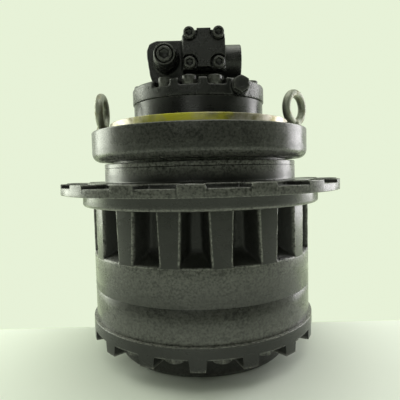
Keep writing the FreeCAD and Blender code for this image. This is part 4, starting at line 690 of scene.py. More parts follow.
def paint_material(name, colours, grain=0.0, marks=0.0, lumps=90.0, rough=0.4, dust=0.35,
                   wear_and_highlight_setting=(0.508, 0.55), wear_and_highlight_strength=0.85):
    """Satin black paint.  Grain and marks are depths, in metres, of cast skin and lathe rings."""
    material, tree, shader = new_material(name)
    place = object_place(tree)
    drift = ramp(tree, noise(tree, place, 9.0, 5.0, 0.6), 0.3, 0.7)
    deep = tuple(0.6 * part for part in colours.paint)
    base = mixed(tree, drift, deep, tuple(1.5 * part for part in colours.paint))
    dusty = effect(tree, "dust", Amount=dust)["Mask"]
    base = mixed(tree, dusty, base, colours.paint_dust)
    # Edges take the pale edge colour: paint abraded thin, and a painted highlight along the bevels
    rubbed_and_highlit = effect(tree, "edge_wear", Low=wear_and_highlight_setting[0], High=wear_and_highlight_setting[1])["Mask"]
    rubbed_and_highlit = maths(tree, "MULTIPLY", rubbed_and_highlit, wear_and_highlight_strength)
    link(tree, mixed(tree, rubbed_and_highlit, base, colours.worn_edge_and_highlight), shader.inputs["Base Color"])
    uneven = ramp(tree, noise(tree, place, 38.0, 6.0, 0.65), 0.3, 0.7, rough - 0.07, rough + 0.08)
    height = None
    if marks:
        rings = effect(tree, "turning_marks", Lines=620.0)
        streaks = ramp(tree, rings["Bands"], 0.35, 0.65, -0.06, 0.06)
        uneven = maths(tree, "ADD", uneven, streaks)
        height = maths(tree, "MULTIPLY", rings["Height"], marks)
    if grain:
        skin = effect(tree, "cast_grain", Lumps=lumps)
        rough_skin = maths(tree, "MULTIPLY", skin["Height"], grain)
        height = rough_skin if height is None else maths(tree, "ADD", height, rough_skin)
    uneven = maths(tree, "ADD", uneven, maths(tree, "MULTIPLY", dusty, 0.3))
    link(tree, uneven, shader.inputs["Roughness"])
    orange_peel = maths(tree, "MULTIPLY", noise(tree, place, 260.0, 2.0, 0.5), 0.00005)
    height = maths(tree, "ADD", height, orange_peel) if height else orange_peel
    shader.inputs["Specular IOR Level"].default_value = 0.5
    add_bump(tree, shader, height, 1.0)
    return material


def metal_material(name, base, stain, stained=(0.42, 0.62), rough=0.34, metallic=0.9,
                   marks=0.00003, grain=0.0, patches=30.0, wear_and_highlight_setting=0.3):
    """Bare metal with stained patches, fine rings or a cast skin."""
    material, tree, shader = new_material(name)
    place = object_place(tree)
    share = ramp(tree, noise(tree, place, patches, 6.0, 0.62), *stained)
    tint = mixed(tree, share, base, stain)
    # Edges take a lighter tint: metal polished by use, and a painted highlight along the bevels
    rubbed_and_highlit = effect(tree, "edge_wear", Low=0.51, High=0.57)["Mask"]
    bright = tuple(min(1.0, 1.35 * part + 0.05) for part in base)
    tint = mixed(tree, maths(tree, "MULTIPLY", rubbed_and_highlit, wear_and_highlight_setting), tint, bright)
    link(tree, tint, shader.inputs["Base Color"])
    link(tree, ramp(tree, share, 0, 1, metallic, metallic * 0.6), shader.inputs["Metallic"])
    uneven = ramp(tree, noise(tree, place, 120.0, 5.0, 0.6), 0.3, 0.7, rough - 0.08, rough + 0.1)
    uneven = maths(tree, "ADD", uneven, maths(tree, "MULTIPLY", share, 0.18))
    link(tree, uneven, shader.inputs["Roughness"])
    rings = effect(tree, "turning_marks", Lines=800.0)
    height = maths(tree, "MULTIPLY", rings["Height"], marks)
    if grain:
        skin = effect(tree, "cast_grain", Lumps=160.0, Grain=900.0)
        height = maths(tree, "ADD", height, maths(tree, "MULTIPLY", skin["Height"], grain))
    add_bump(tree, shader, height, 1.0)
    return material


def spigot_material(colours):
    """Machined spigot with yellow lacquer that has come off to bare, tarnished steel."""
    material, tree, shader = new_material("spigot_lacquer")
    place = object_place(tree)
    split = tree.nodes.new("ShaderNodeSeparateXYZ")
    link(tree, place, split.inputs[0])
    sideways = maths(tree, "ABSOLUTE", maths(tree, "ADD", split.outputs["X"], 0.03), 0)
    patch = maths(tree, "ADD", sideways, ramp(tree, noise(tree, place, 16.0, 6.0, 0.6),
                                              0.3, 0.7, -0.05, 0.05))
    bare = ramp(tree, patch, 0.035, 0.105)
    tarnish = ramp(tree, noise(tree, place, 24.0, 6.0, 0.65), 0.4, 0.6)
    metal = mixed(tree, tarnish, colours.bare_steel, colours.tarnish)
    link(tree, mixed(tree, bare, colours.yellow, metal), shader.inputs["Base Color"])
    link(tree, ramp(tree, bare, 0, 1, 0.0, 0.75), shader.inputs["Metallic"])
    rough = ramp(tree, noise(tree, place, 60.0, 5.0, 0.6), 0.3, 0.7, 0.28, 0.5)
    link(tree, rough, shader.inputs["Roughness"])
    rings = effect(tree, "turning_marks", Lines=900.0)
    add_bump(tree, shader, maths(tree, "MULTIPLY", rings["Height"], 0.00006), 1.0)
    return material


def rubber_material(colours):
    material, tree, shader = new_material("seal_rubber")
    place = object_place(tree)
    share = ramp(tree, noise(tree, place, 60.0, 4.0, 0.6), 0.3, 0.7)
    light = tuple(1.8 * part for part in colours.rubber)
    link(tree, mixed(tree, share, colours.rubber, light), shader.inputs["Base Color"])
    link(tree, ramp(tree, share, 0, 1, 0.55, 0.75), shader.inputs["Roughness"])
    add_bump(tree, shader, maths(tree, "MULTIPLY", noise(tree, place, 500.0), 0.00004), 1.0)
    return material


def finish(name):
    return bpy.data.materials[name]


# ------------------------------------------------------------------------------------------
# Operators
# ------------------------------------------------------------------------------------------


def sizes():
    return bpy.context.scene.final_drive_sizes


def colours():
    return bpy.context.scene.final_drive_colours


def settle(piece, body, slot_name, *nodes):
    """Hand a finished piece to its body and hide the CAD nodes that it stands for."""
    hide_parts(*nodes)
    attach(piece, body)
    return piece


class BuildStep(bpy.types.Operator):
    """Common base of the operators that build the final drive"""
    bl_options = {"REGISTER", "UNDO"}

    def execute(self, context):
        self.build()
        return {"FINISHED"}


class FD_OT_finishes(BuildStep):
    """Make the paints and metals"""
    bl_idname = "final_drive.finishes"
    bl_label = "Finishes"

    def build(self):
        c = colours()
        paint_material("turned_paint", c, marks=0.00004, rough=0.26, dust=0.3)
        paint_material("flange_paint", c, marks=0.0001, grain=0.00004, rough=0.27, dust=0.4)
        paint_material("hub_paint", c, marks=0.00004, rough=0.27, dust=0.6)
        paint_material("cast_paint", c, grain=0.0008, lumps=130.0, rough=0.36, dust=0.5)
        paint_material("head_paint", c, grain=0.0006, lumps=110.0, rough=0.27, dust=0.7,
                       wear_and_highlight_setting=(0.53, 0.62), wear_and_highlight_strength=0.6)
        paint_material("bolt_paint", c, marks=0.0, grain=0.00008, rough=0.36, dust=0.6,
                       wear_and_highlight_setting=(0.52, 0.6))
        spigot_material(c)
        rubber_material(c)
        metal_material("zinc", c.zinc, c.tarnish, stained=(0.5, 0.72), rough=0.48,
                       metallic=0.7, marks=0.0, grain=0.00035, patches=70.0)
        metal_material("bare_steel", c.bare_steel, (0.22, 0.20, 0.17), rough=0.3)
        metal_material("grey_iron", c.iron, (0.09, 0.085, 0.08), rough=0.55, metallic=0.4,
                       grain=0.0003)
        metal_material("bronze", c.bronze, (0.25, 0.16, 0.07), rough=0.36)


CARRIED_FINISH = {
    "black_paint": "bolt_paint",
    "black_cast": "cast_paint",
    "grey_iron": "grey_iron",
    "bright_steel": "bare_steel",
    "rubber": "seal_rubber",
    "bronze": "bronze",
    "galvanised_steel": "zinc",
}


class FD_OT_inner_parts(BuildStep):
    """Finish the gears, bearings, seals and motor parts that keep their exact shape"""
    bl_idname = "final_drive.inner_parts"
    bl_label = "Inner parts"

    def build(self):
        for part in frame["record"]["subparts"]:
            node = frame["nodes"][part["node"]]
            node.data.materials.clear()
            oiled = part["node"].startswith("seal_ring")
            name = "bolt_paint" if oiled else CARRIED_FINISH[part["material_slot"]]
            node.data.materials.append(finish(name))


def levels():
    """Heights and radii of the main faces, read from the frame."""
    s = sizes()
    made = {
        "casing_top": top("spindle_housing"),
        "spindle_end": bottom("spindle_housing"),
        "flange": reach("spindle_housing"),
        "neck_top": top("hub"),
        "ring_top": top("ring_gear"),
        "cover_top": bottom("ring_gear"),
        "ring": reach("ring_gear"),
        "rim": reach("end_cover"),
        "sprocket": reach("hub"),
        "head_seat": bottom("cover_bolts") + s.bolt_height,
        "cover_foot": bottom("end_cover"),
    }
    made["flange_bottom"] = made["neck_top"] + s.seal_gap
    made["pad_top"] = made["neck_top"] - s.neck_length
    made["pilot_top"] = made["pad_top"] - s.sprocket_thickness
    made["rib_top"] = made["pilot_top"] - s.pilot_height
    made["pilot"] = made["ring"] + s.pilot_step
    made["rib"] = made["ring"] - 0.5 * MM
    made["bolt_circle"] = reach("cover_bolts") - s.bolt_flats / math.sqrt(3)
    return made


class FD_OT_mounting_flange(BuildStep):
    """Turn the mounting flange, motor casing and bearing spindle, and drill the flange"""
    bl_idname = "final_drive.mounting_flange"
    bl_label = "Mounting flange"

    def build(self):
        s, at = sizes(), levels()
        flange, foot = at["flange"], at["flange_bottom"]
        casing = s.casing_radius
        spigot = flange - s.frame_land
        seal_floor = foot + 15.5 * MM
        step = foot - 37 * MM
        corners = [
            (CHAMBER, at["casing_top"], 0.8), (casing, at["casing_top"], 1.2),
            (casing, s.spigot_height, 7.0), (spigot, s.spigot_height, 2.0),
            (spigot, 0.0, 1.5), (flange, 0.0, 3.2), (flange, foot, 19.0),
            (SEAL_SEAT, foot, 1.5), (SEAL_SEAT, seal_floor, 0), (SHOULDER, seal_floor, 0),
            (SHOULDER, step, 0), (SPINDLE, step, 0), (SPINDLE, at["spindle_end"], 1.5),
            (SPINDLE_BORE, at["spindle_end"], 1.0), (SPINDLE_BORE, FLOOR_BOTTOM, 0),
            (26 * MM, FLOOR_BOTTOM, 0), (26 * MM, SEAL_POCKET, 0), (38 * MM, SEAL_POCKET, 0),
            (38 * MM, BEARING_POCKET, 0), (50 * MM, BEARING_POCKET, 0),
            (50 * MM, SWASH_FLOOR, 0), (SPINDLE_BORE, SWASH_FLOOR, 3.0),
            (SPINDLE_BORE, CHAMBER_STEP, 0), (CHAMBER, CHAMBER_STEP, 0),
        ]
        line = rounded([c[:2] for c in corners], [c[2] * MM for c in corners], 6, closed=True)
        piece = new_object("mounting_flange", turned("mounting_flange", line, 240))
        holes = []
        for hole in range(s.frame_holes):
            place = polar(flange - s.frame_hole_inset, 360 * (hole + 0.5) / s.frame_holes)
            holes.append(drill(TAPPED_RADIUS, -TAPPED_DEPTH, 0.0, *place, both=False, count=28))
        drilled(piece, joined("frame_holes", holes))
        piece.data.materials.clear()
        piece.data.materials.append(finish("flange_paint"))
        piece.data.materials.append(finish("spigot_lacquer"))
        for face in piece.data.polygons:
            away = math.hypot(face.center.x, face.center.y)
            if face.center.z > 0.2 * MM and away > spigot - 3 * MM:
                face.material_index = 1
        settle(piece, "housing", "black_paint", "spindle_housing")


def smooth_min(first, second, blend):
    """Lesser of two arrays with a rounded passage between them."""
    share = np.clip(0.5 + 0.5 * (second - first) / blend, 0, 1)
    return second * (1 - share) + first * share - blend * share * (1 - share)


def eased(value):
    value = np.clip(value, 0, 1)
    return value * value * (3 - 2 * value)


class FD_OT_hub(BuildStep):
    """Cast the hub: one notch, rib and pocket, repeated round the axis and then drilled"""
    bl_idname = "final_drive.hub"
    bl_label = "Hub"

    def build(self):
        s, at = sizes(), levels()
        half = math.pi / s.features
        sector = self.sector(s, at, half)
        piece = new_object("hub_casting", sector)
        start = s.feature_turn + half
        polar_copies(piece, s.features, start, 2 * half, finish("hub_paint"), 5e-6)
        tidy_mesh(piece.data, 5e-6)
        self.drill_holes(piece, s, at, start - half, 2 * half)
        piece.data.materials.clear()
        piece.data.materials.append(finish("hub_paint"))
        piece.data.materials.append(finish("cast_paint"))
        for face in piece.data.polygons:
            away = math.hypot(face.center.x, face.center.y)
            between = at["ring_top"] + 0.5 * MM < face.center.z < at["rib_top"] - 0.5 * MM
            if between and 0.2 < away < at["rib"] - 1.2 * MM:
                face.material_index = 1
        settle(piece, "hub_group", "black_cast", "hub")

    def sector(self, s, at, half):
        """Mesh of one feature pitch, centred on a rib, as rows of one profile."""
        rim = at["sprocket"]
        notch_in = rim - s.recess_length
        turns = self.turns(s, half)
        rows = []

        def row(radius, height):
            radius = np.broadcast_to(radius, turns.shape)
            height = np.broadcast_to(height, turns.shape)
            rows.append(np.stack(
                [radius * np.cos(turns), radius * np.sin(turns), height], -1))

        def sunk(radius):
            inside = np.minimum(half - s.pad_half_angle - np.abs(turns), 9) * radius
            inside = smooth_min(inside, np.full_like(turns, radius - notch_in), 4 * MM)
            return s.recess_depth * eased(inside / (2.2 * MM) + 0.5)

        neck, groove = s.neck_radius, at["neck_top"] - 9 * MM
        top_line = rounded([
            (SEAL_SEAT, at["neck_top"]), (neck, at["neck_top"]), (neck, groove),
            (neck - 1.5 * MM, groove - 0.5 * MM), (neck - 1.5 * MM, groove - 1.5 * MM),
            (neck, groove - 2 * MM), (neck, at["pad_top"]), (neck + 30 * MM, at["pad_top"]),
        ], [0, 2 * MM, 0, 0, 0, 0, 4 * MM, 0], 4)
        for radius, height in top_line[:-1]:
            row(radius, height)
        for radius in (236, 248, 258, 263, 265, 266, 266.7, 267.3, 267.9, 268.5, 269.2, 270.2,
                       272, 278, 290, 303, 314, 320):
            radius = radius * MM
            row(radius, at["pad_top"] - sunk(radius))
        edge = s.edge_round
        for share in np.linspace(0, math.pi / 2, 4):
            row(rim - edge + edge * math.sin(share),
                at["pad_top"] - sunk(rim) - edge + edge * math.cos(share))
        lower = rounded([
            (rim, at["pad_top"] - 9 * MM), (rim, at["pilot_top"]), (at["pilot"], at["pilot_top"]),
            (at["pilot"], at["rib_top"]), (at["rib"], at["rib_top"]),
            (at["rib"], at["rib_top"] - 4 * MM),
        ], [0, 1.6 * MM, 2.5 * MM, 6 * MM, 1 * MM, 0], 4)
        for radius, height in lower[1:-1]:
            row(radius, height)
        down = at["rib_top"] - np.concatenate([
            np.arange(1, 9, 0.9), np.arange(10, 84, 4.4), np.arange(85, 109.4, 1.7)]) * MM
        for height in down:
            row(at["rib"] - self.pocket(s, at, half, turns, height), height)
        row(at["rib"], at["ring_top"] + 0.3 * MM)
        row(at["rib"] - 0.3 * MM, at["ring_top"])
        for radius, height in (
                (CUP + 6 * MM, at["ring_top"]), (CUP + 6 * MM, at["ring_top"] + 17 * MM),
                (CUP, at["ring_top"] + 19 * MM), (CUP, LOWER_SHOULDER),
                (CUP - CUP_LIP, LOWER_SHOULDER), (CUP - CUP_LIP, UPPER_SHOULDER),
                (CUP, UPPER_SHOULDER), (CUP, SEAL_FLOOR), (SEAL_SEAT, SEAL_FLOOR)):
            row(radius, height)
        return woven("hub_sector", rows, around=False)

    def turns(self, s, half):
        """Directions of the columns, crowded where the notch and the pocket have walls."""
        notch = half - s.pad_half_angle
        side = [0.0, 1.4, 2.6, 3.6]
        side += list(np.arange(4.1, 8.3, 0.36)) + [8.7, 9.6, 10.5]
        side = [math.radians(t) * half / math.radians(11.25) for t in side]
        side += [notch + math.radians(t) for t in (-0.42, -0.2, 0.0, 0.2, 0.42)]
        side = sorted(side)
        kept = [side[0]]
        for turn in side[1:]:
            if turn - kept[-1] > math.radians(0.11):
                kept.append(turn)
        kept.append(half)
        return np.array([-t for t in kept[:0:-1]] + kept)

    def pocket(self, s, at, half, turns, height):
        """Depth of the pocket between two ribs, zero on the ribs."""
        share = (at["rib_top"] - height) / (at["rib_top"] - at["ring_top"])
        wide = s.pocket_top + (s.pocket_bottom - s.pocket_top) * share
        across = (half - np.abs(turns)) * (at["rib"] - 0.3 * s.pocket_depth)
        walls = (wide - across) * 3.6
        ledge = np.full_like(turns, (height - at["ring_top"] - 2.5 * MM) * 1.75)
        ceiling = np.full_like(turns, (at["rib_top"] - 1.2 * MM - height) * 9)
        depth = smooth_min(walls, np.full_like(turns, s.pocket_depth), 26 * MM)
        depth = smooth_min(depth, ledge, 12 * MM)
        depth = smooth_min(depth, ceiling, 8 * MM)
        return -smooth_min(-depth, np.zeros_like(turns), 2.4 * MM)

    def drill_holes(self, piece, s, at, start, step):
        holes = []
        for feature in range(s.features):
            place = polar(at["sprocket"] - SPROCKET_HOLE_INSET, math.degrees(start + step * feature))
            holes.append(drill(s.sprocket_hole, at["pilot_top"], at["pad_top"], *place))
        drilled(piece, joined("sprocket_holes", holes))


class FD_OT_ring_gear(BuildStep):
    """Turn the ring gear, with its inner teeth and a scribed line round the outside"""
    bl_idname = "final_drive.ring_gear"
    bl_label = "Ring gear"

    def build(self):
        s, at = sizes(), levels()
        turns, tooth = self.teeth(s)
        low, high, out = at["cover_top"], at["ring_top"], at["ring"]
        edge, line = MM, (low + high) / 2 - 2.6 * MM
        outside = rounded([
            (at["bolt_circle"], high), (out, high), (out, line + 0.5 * MM),
            (out - 0.35 * MM, line), (out, line - 0.5 * MM), (out, low),
            (at["bolt_circle"], low)], [0, edge, 0, 0, 0, edge, 0], 4)
        rows = []
        for bevel, height in ((0.0, low + edge), (0.0, high - edge), (edge, high)):
            rows.append(self.row(turns, tooth + bevel, height))
        for radius, height in outside:
            rows.append(self.row(turns, np.full_like(turns, radius), height))
        rows.append(self.row(turns, tooth + edge, low))
        piece = new_object("ring_gear_body", woven("ring_gear_body", rows))
        tidy_mesh(piece.data)
        piece.data.materials.append(finish("turned_paint"))
        piece.data.materials.append(finish("bare_steel"))
        for face in piece.data.polygons:
            if math.hypot(face.center.x, face.center.y) < out - 8 * MM:
                face.material_index = 1
        settle(piece, "hub_group", "black_paint", "ring_gear")

    def row(self, turns, radius, height):
        return np.stack([radius * np.cos(turns), radius * np.sin(turns),
                         np.full_like(turns, height)], -1)

    def teeth(self, s):
        """Directions and radii of the inner outline.  A tooth has straight, drafted flanks."""
        pitch = s.gear_module * s.ring_teeth / 2
        tip, root = pitch - s.gear_module, pitch + 1.25 * s.gear_module
        tall = root - tip
        quarter = math.pi / 2 / s.ring_teeth
        lean = math.tan(math.radians(25)) / pitch
        half_tip = quarter - lean * s.gear_module
        turns, radii = [], []
        for number in range(s.ring_teeth):
            middle_turn = s.feature_turn + 2 * math.pi * (number + 0.5) / s.ring_teeth
            for share in (-1, -0.66, -0.33, 0, 0.33, 0.66, 1):
                turns.append(middle_turn + share * half_tip)
                radii.append(tip)
            for share in (0.25, 0.5, 0.75, 1.0):
                turns.append(middle_turn + half_tip + lean * tall * share)
                radii.append(tip + tall * share)
            gap = 2 * math.pi / s.ring_teeth - 2 * (half_tip + lean * tall)
            turns.append(middle_turn + half_tip + lean * tall + gap / 2)
            radii.append(root)
            for share in (1.0, 0.75, 0.5, 0.25):
                turns.append(middle_turn + 2 * math.pi / s.ring_teeth - half_tip
                             - lean * tall * share)
                radii.append(tip + tall * share)
        return np.array(turns), np.array(radii)


class FD_OT_end_cover(BuildStep):
    """Cast the end cover: one guard block and its share of the rim, repeated, then drilled"""
    bl_idname = "final_drive.end_cover"
    bl_label = "End cover"

    def build(self):
        s, at = sizes(), levels()
        half = math.pi / s.features
        piece = new_object("end_cover_casting", self.sector(s, at, half))
        polar_copies(piece, s.features, s.feature_turn, 2 * half, finish("turned_paint"), 5e-6)
        tidy_mesh(piece.data, 5e-6)
        seats = []
        for seat in range(3):
            place = polar(PLUG_CIRCLE, 120 * seat + math.degrees(s.feature_turn))
            mesh = turned("seat", [(0, at["cover_foot"] - 3 * MM),
                                   (21.5 * MM, at["cover_foot"] - 3 * MM),
                                   (21 * MM, at["cover_foot"] + 6 * MM),
                                   (0, at["cover_foot"] + 6 * MM)], 40, closed=False)
            mesh.transform(Matrix.Translation((*place, 0)))
            seats.append(mesh)
        drilled(piece, joined("plug_seats", seats))
        piece.data.materials.clear()
        piece.data.materials.append(finish("turned_paint"))
        piece.data.materials.append(finish("cast_paint"))
        for face in piece.data.polygons:
            away = math.hypot(face.center.x, face.center.y)
            if face.center.z < at["head_seat"] + 4 * MM and away < at["rim"] - 3 * MM:
                face.material_index = 1
        settle(piece, "hub_group", "black_cast", "end_cover")

    def sector(self, s, at, half):
        """Mesh of one feature pitch, centred on a guard block."""
        rim, drum, seat = at["rim"], DRUM, at["head_seat"]
        edge = s.edge_round
        base = np.array([0.0, 0.25, 0.5, 0.72, 0.8, 0.85, 0.89, 0.93, 0.96, 1.0, 1.04, 1.08,
                         1.14, 1.3])
        rows = []

        def row(radius, height, guard=0.0):
            wall = s.guard_top / 2 / max(radius, 150 * MM)
            side = base * wall
            rest = side[-1] + (half - side[-1]) * np.array([0.2, 0.45, 0.72, 1.0])
            side = np.concatenate([side, rest])
            turns = np.concatenate([-side[:0:-1], side])
            across = np.abs(turns) * radius
            draft = (s.guard_top - s.guard_foot) / 2
            inside = (s.guard_top / 2 + 0.4 * MM - across)
            sunk = smooth_min(inside * s.guard_height / draft,
                              np.full_like(turns, s.guard_height), 3 * MM)
            sunk = -smooth_min(-sunk, np.zeros_like(turns), 2.0 * MM)
            height = height - guard * sunk
            rows.append(np.stack([radius * np.cos(turns), radius * np.sin(turns),
                                  np.broadcast_to(height, turns.shape)], -1))

        inner = drum - COVER_WALL
        floor = at["cover_foot"] + 16 * MM
        for radius, height in ((0, bottom("thrust_disc")), (45, bottom("thrust_disc")),
                               (49, floor), (100, floor)):
            row(radius * MM, height)
        for radius, height in rounded([
                (inner - 30 * MM, floor), (inner, floor), (inner, floor + 30 * MM)],
                [0, 10 * MM, 0], 3)[1:-1]:
            row(radius, height)
        for radius, height in rounded([
                (inner, at["cover_top"]), (rim, at["cover_top"]), (rim, seat + 2 * MM)],
                [0, 1.2 * MM, 0], 3)[:-1]:
            row(radius, height)
        for share in (0, 0.5, 0.9):
            row(rim, at["cover_top"] - 1.5 * MM + (seat + edge - at["cover_top"] + 1.5 * MM)
                * share, share)
        for share in np.linspace(0, math.pi / 2, 4):
            row(rim - edge + edge * math.cos(share), seat + edge - edge * math.sin(share), 1.0)
        for radius in (258, 250, 240, 230, 220, 212, 208):
            row(radius * MM, seat, 1.0)
        for radius, height, guard in ((205.5, -0.4, 0.98), (203.2, -1.4, 0.93),
                                      (201.6, -3.2, 0.84), (201.0, -6.0, 0.7)):
            row(radius * MM, seat + height * MM, guard)
        for share in (0.55, 0.35, 0.15, 0.0):
            row(drum, seat - 6 * MM - 22 * MM * (0.7 - share), share)
        for radius, height in rounded([
                (drum, at["cover_foot"] + 30 * MM), (drum, at["cover_foot"]),
                (40 * MM, at["cover_foot"])], [0, 9 * MM, 0], 5)[1:-1]:
            row(radius, height)
        for radius in (120, 60, 0):
            row(radius * MM, at["cover_foot"])
        return woven("cover_sector", rows, around=False, closed=False)


class FD_OT_cover_bolts(BuildStep):
    """Forge one cover bolt and repeat it round the rim, between the guard blocks"""
    bl_idname = "final_drive.cover_bolts"
    bl_label = "Cover bolts"

    def build(self):
        s, at = sizes(), levels()
        long = at["ring_top"] + 42 * MM - at["head_seat"]
        bolt = hex_bolt("cover_bolt", s.bolt_flats, s.bolt_height, 12 * MM, long)
        place = Matrix.Translation((at["bolt_circle"], 0, at["head_seat"]))
        bolt.transform(place @ Matrix.Rotation(math.pi, 4, "X") @ Matrix.Rotation(0.52, 4, "Z"))
        piece = new_object("hexagon_bolts", bolt)
        half = math.pi / s.features
        polar_copies(piece, s.features, s.feature_turn + half, 2 * half, finish("bolt_paint"))
        settle(piece, "hub_group", "black_paint", "cover_bolts")


class FD_OT_plugs(BuildStep):
    """Turn the oil plugs of the end cover and the three plugs of the valve head"""
    bl_idname = "final_drive.plugs"
    bl_label = "Plugs"

    def build(self):
        s, at = sizes(), levels()
        oil = socket_screw("oil_plug", 18 * MM, 5 * MM, 17 * MM, 4 * MM, 14 * MM, 12 * MM)
        turned_down = Matrix.Rotation(math.pi, 4, "X")
        oil.transform(Matrix.Translation((PLUG_CIRCLE, 0, at["cover_foot"] + 6 * MM)) @ turned_down)
        piece = new_object("oil_plugs", oil)
        polar_copies(piece, 3, s.feature_turn, math.radians(120), finish("bolt_paint"))
        settle(piece, "hub_group", "black_paint", "cover_plugs")

        forwards = Matrix.Rotation(math.pi / 2, 4, "X")
        centre, front = middle("relief_plug"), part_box("relief_plug")[0].y
        relief = socket_screw(
            "relief_valve_plug", 15.5 * MM, 8 * MM, 19 * MM, 7.5 * MM, 12 * MM, 30 * MM)
        relief.transform(Matrix.Translation((centre.x, front + 8 * MM, centre.z)) @ forwards)
        self.add("relief_valve_plug", relief, "relief_plug")

        centre, front = middle("drain_plug"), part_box("drain_plug")[0].y
        drain = hex_bolt("oil_drain_plug", 30 * MM, 14 * MM, 12 * MM, 20 * MM, 17 * MM)
        drain.transform(Matrix.Translation((centre.x, front + 14 * MM, centre.z)) @ forwards)
        self.add("oil_drain_plug", drain, "drain_plug")

        centre, face = middle("spool_cap"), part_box("spool_cap")[1].x
        cap = socket_screw(
            "spool_end_cap", 21.9 * MM, 14 * MM, 19 * MM, 10 * MM, 12 * MM, 0.9 * MM)
        sideways = Matrix.Rotation(math.pi / 2, 4, "Y")
        cap.transform(Matrix.Translation((face - 14 * MM, centre.y, centre.z)) @ sideways)
        self.add("spool_end_cap", cap, "spool_cap")

    def add(self, name, mesh, node):
        piece = new_object(name, mesh)
        piece.data.materials.append(finish("bolt_paint"))
        settle(piece, "housing", "black_paint", node)


def cast_copy(name, node, grid, rounds, material):
    """Copy of a CAD node whose edges are blended as a casting's or a forging's are."""
    work = bmesh.new()
    work.from_mesh(frame["nodes"][node].data)
    bmesh.ops.remove_doubles(work, verts=work.verts, dist=2e-6)
    mesh = bpy.data.meshes.new(name)
    work.to_mesh(mesh)
    work.free()
    mesh.materials.clear()
    piece = new_object(name, mesh)
    remesh = piece.modifiers.new("grid", "REMESH")
    remesh.mode = "VOXEL"
    remesh.voxel_size = grid
    smooth = piece.modifiers.new("smooth", "SMOOTH")
    smooth.factor = 0.5
    smooth.iterations = rounds
    evaluated(piece)
    piece.data.materials.clear()
    piece.data.materials.append(material)
    shade(piece.data, 60)
    return piece


class FD_OT_motor_head(BuildStep):
    """Cast the motor cover with its valve head, and the port cover in front of it"""
    bl_idname = "final_drive.motor_head"
    bl_label = "Motor head"

    def build(self):
        s = sizes()
        head = cast_copy("motor_head_casting", "motor_cover", s.cast_voxel, 5,
                         finish("head_paint"))
        settle(head, "housing", "black_cast", "motor_cover")
        plate = cast_copy("port_plate_casting", "port_cover", 1.3 * MM, 4, finish("head_paint"))
        settle(plate, "housing", "black_cast", "port_cover")


class FD_OT_motor_screws(BuildStep):
    """Turn the socket screws of the motor cover and of the port cover"""
    bl_idname = "final_drive.motor_screws"
    bl_label = "Motor screws"

    def build(self):
        s = sizes()
        head_top = top("motor_cover_bolts")
        screw = socket_screw("cover_screw", s.screw_head, 20 * MM, 17 * MM, 10 * MM, 10 * MM,
                             57 * MM, 0.5 * MM)
        screw.transform(Matrix.Translation((SCREW_CIRCLE, 0, head_top - 20 * MM)))
        piece = new_object("motor_cover_screws", screw)
        polar_copies(piece, SCREW_STEPS, FIRST_SCREW, SCREW_PITCH, finish("bolt_paint"),
                     gaps=SCREW_GAPS)
        settle(piece, "housing", "black_paint", "motor_cover_bolts")

        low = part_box("port_cover_bolts")[0]
        centre = middle("port_cover_bolts")
        screw = socket_screw("plate_screw", 12 * MM, 16 * MM, 14 * MM, 8 * MM, 8 * MM, 36 * MM,
                             0.4 * MM)
        screw.transform(Matrix.Rotation(math.pi / 2, 4, "X"))
        piece = new_object("port_plate_screws", screw)
        spacing = 2 * (centre.x - low.x - 12 * MM)
        corner_copies(piece, spacing, spacing, (centre.x, low.y + 16 * MM, centre.z),
                      finish("bolt_paint"))
        settle(piece, "housing", "black_paint", "port_cover_bolts")


class FD_OT_lifting_eyes(BuildStep):
    """Forge the two lifting eyes"""
    bl_idname = "final_drive.lifting_eyes"
    bl_label = "Lifting eyes"

    def build(self):
        for side in ("left", "right"):
            piece = cast_copy(f"forged_eye_{side}", f"lifting_eye_{side}", 1.2 * MM, 10,
                              finish("zinc"))
            settle(piece, "housing", "galvanised_steel", f"lifting_eye_{side}")


def floor_material(c, line):
    """Plain sheet on the floor, and beyond a line the wall's colour as the camera sees it."""
    material, tree, shader = new_material("floor_sheet")
    place = object_place(tree)
    blot = ramp(tree, noise(tree, place, 1.6, 3.0, 0.5), 0.3, 0.7)
    sheet = mixed(tree, blot, tuple(0.97 * part for part in c.floor), c.floor)
    split = tree.nodes.new("ShaderNodeSeparateXYZ")
    link(tree, place, split.inputs[0])
    beyond = ramp(tree, split.outputs["Y"], line - 0.002, line + 0.004)
    link(tree, mixed(tree, beyond, sheet, c.wall), shader.inputs["Base Color"])
    shader.inputs["Roughness"].default_value = 0.85
    shader.inputs["Specular IOR Level"].default_value = 0.1
    plain = tree.nodes.new("ShaderNodeEmission")
    plain.inputs["Color"].default_value = (*c.wall, 1.0)
    seen = tree.nodes.new("ShaderNodeLightPath").outputs["Is Camera Ray"]
    either = tree.nodes.new("ShaderNodeMixShader")
    link(tree, maths(tree, "MULTIPLY", seen, beyond), either.inputs["Fac"])
    link(tree, shader.outputs["BSDF"], either.inputs[1])
    link(tree, plain.outputs["Emission"], either.inputs[2])
    link(tree, either.outputs[0], tree.nodes["Material Output"].inputs["Surface"])
    return material


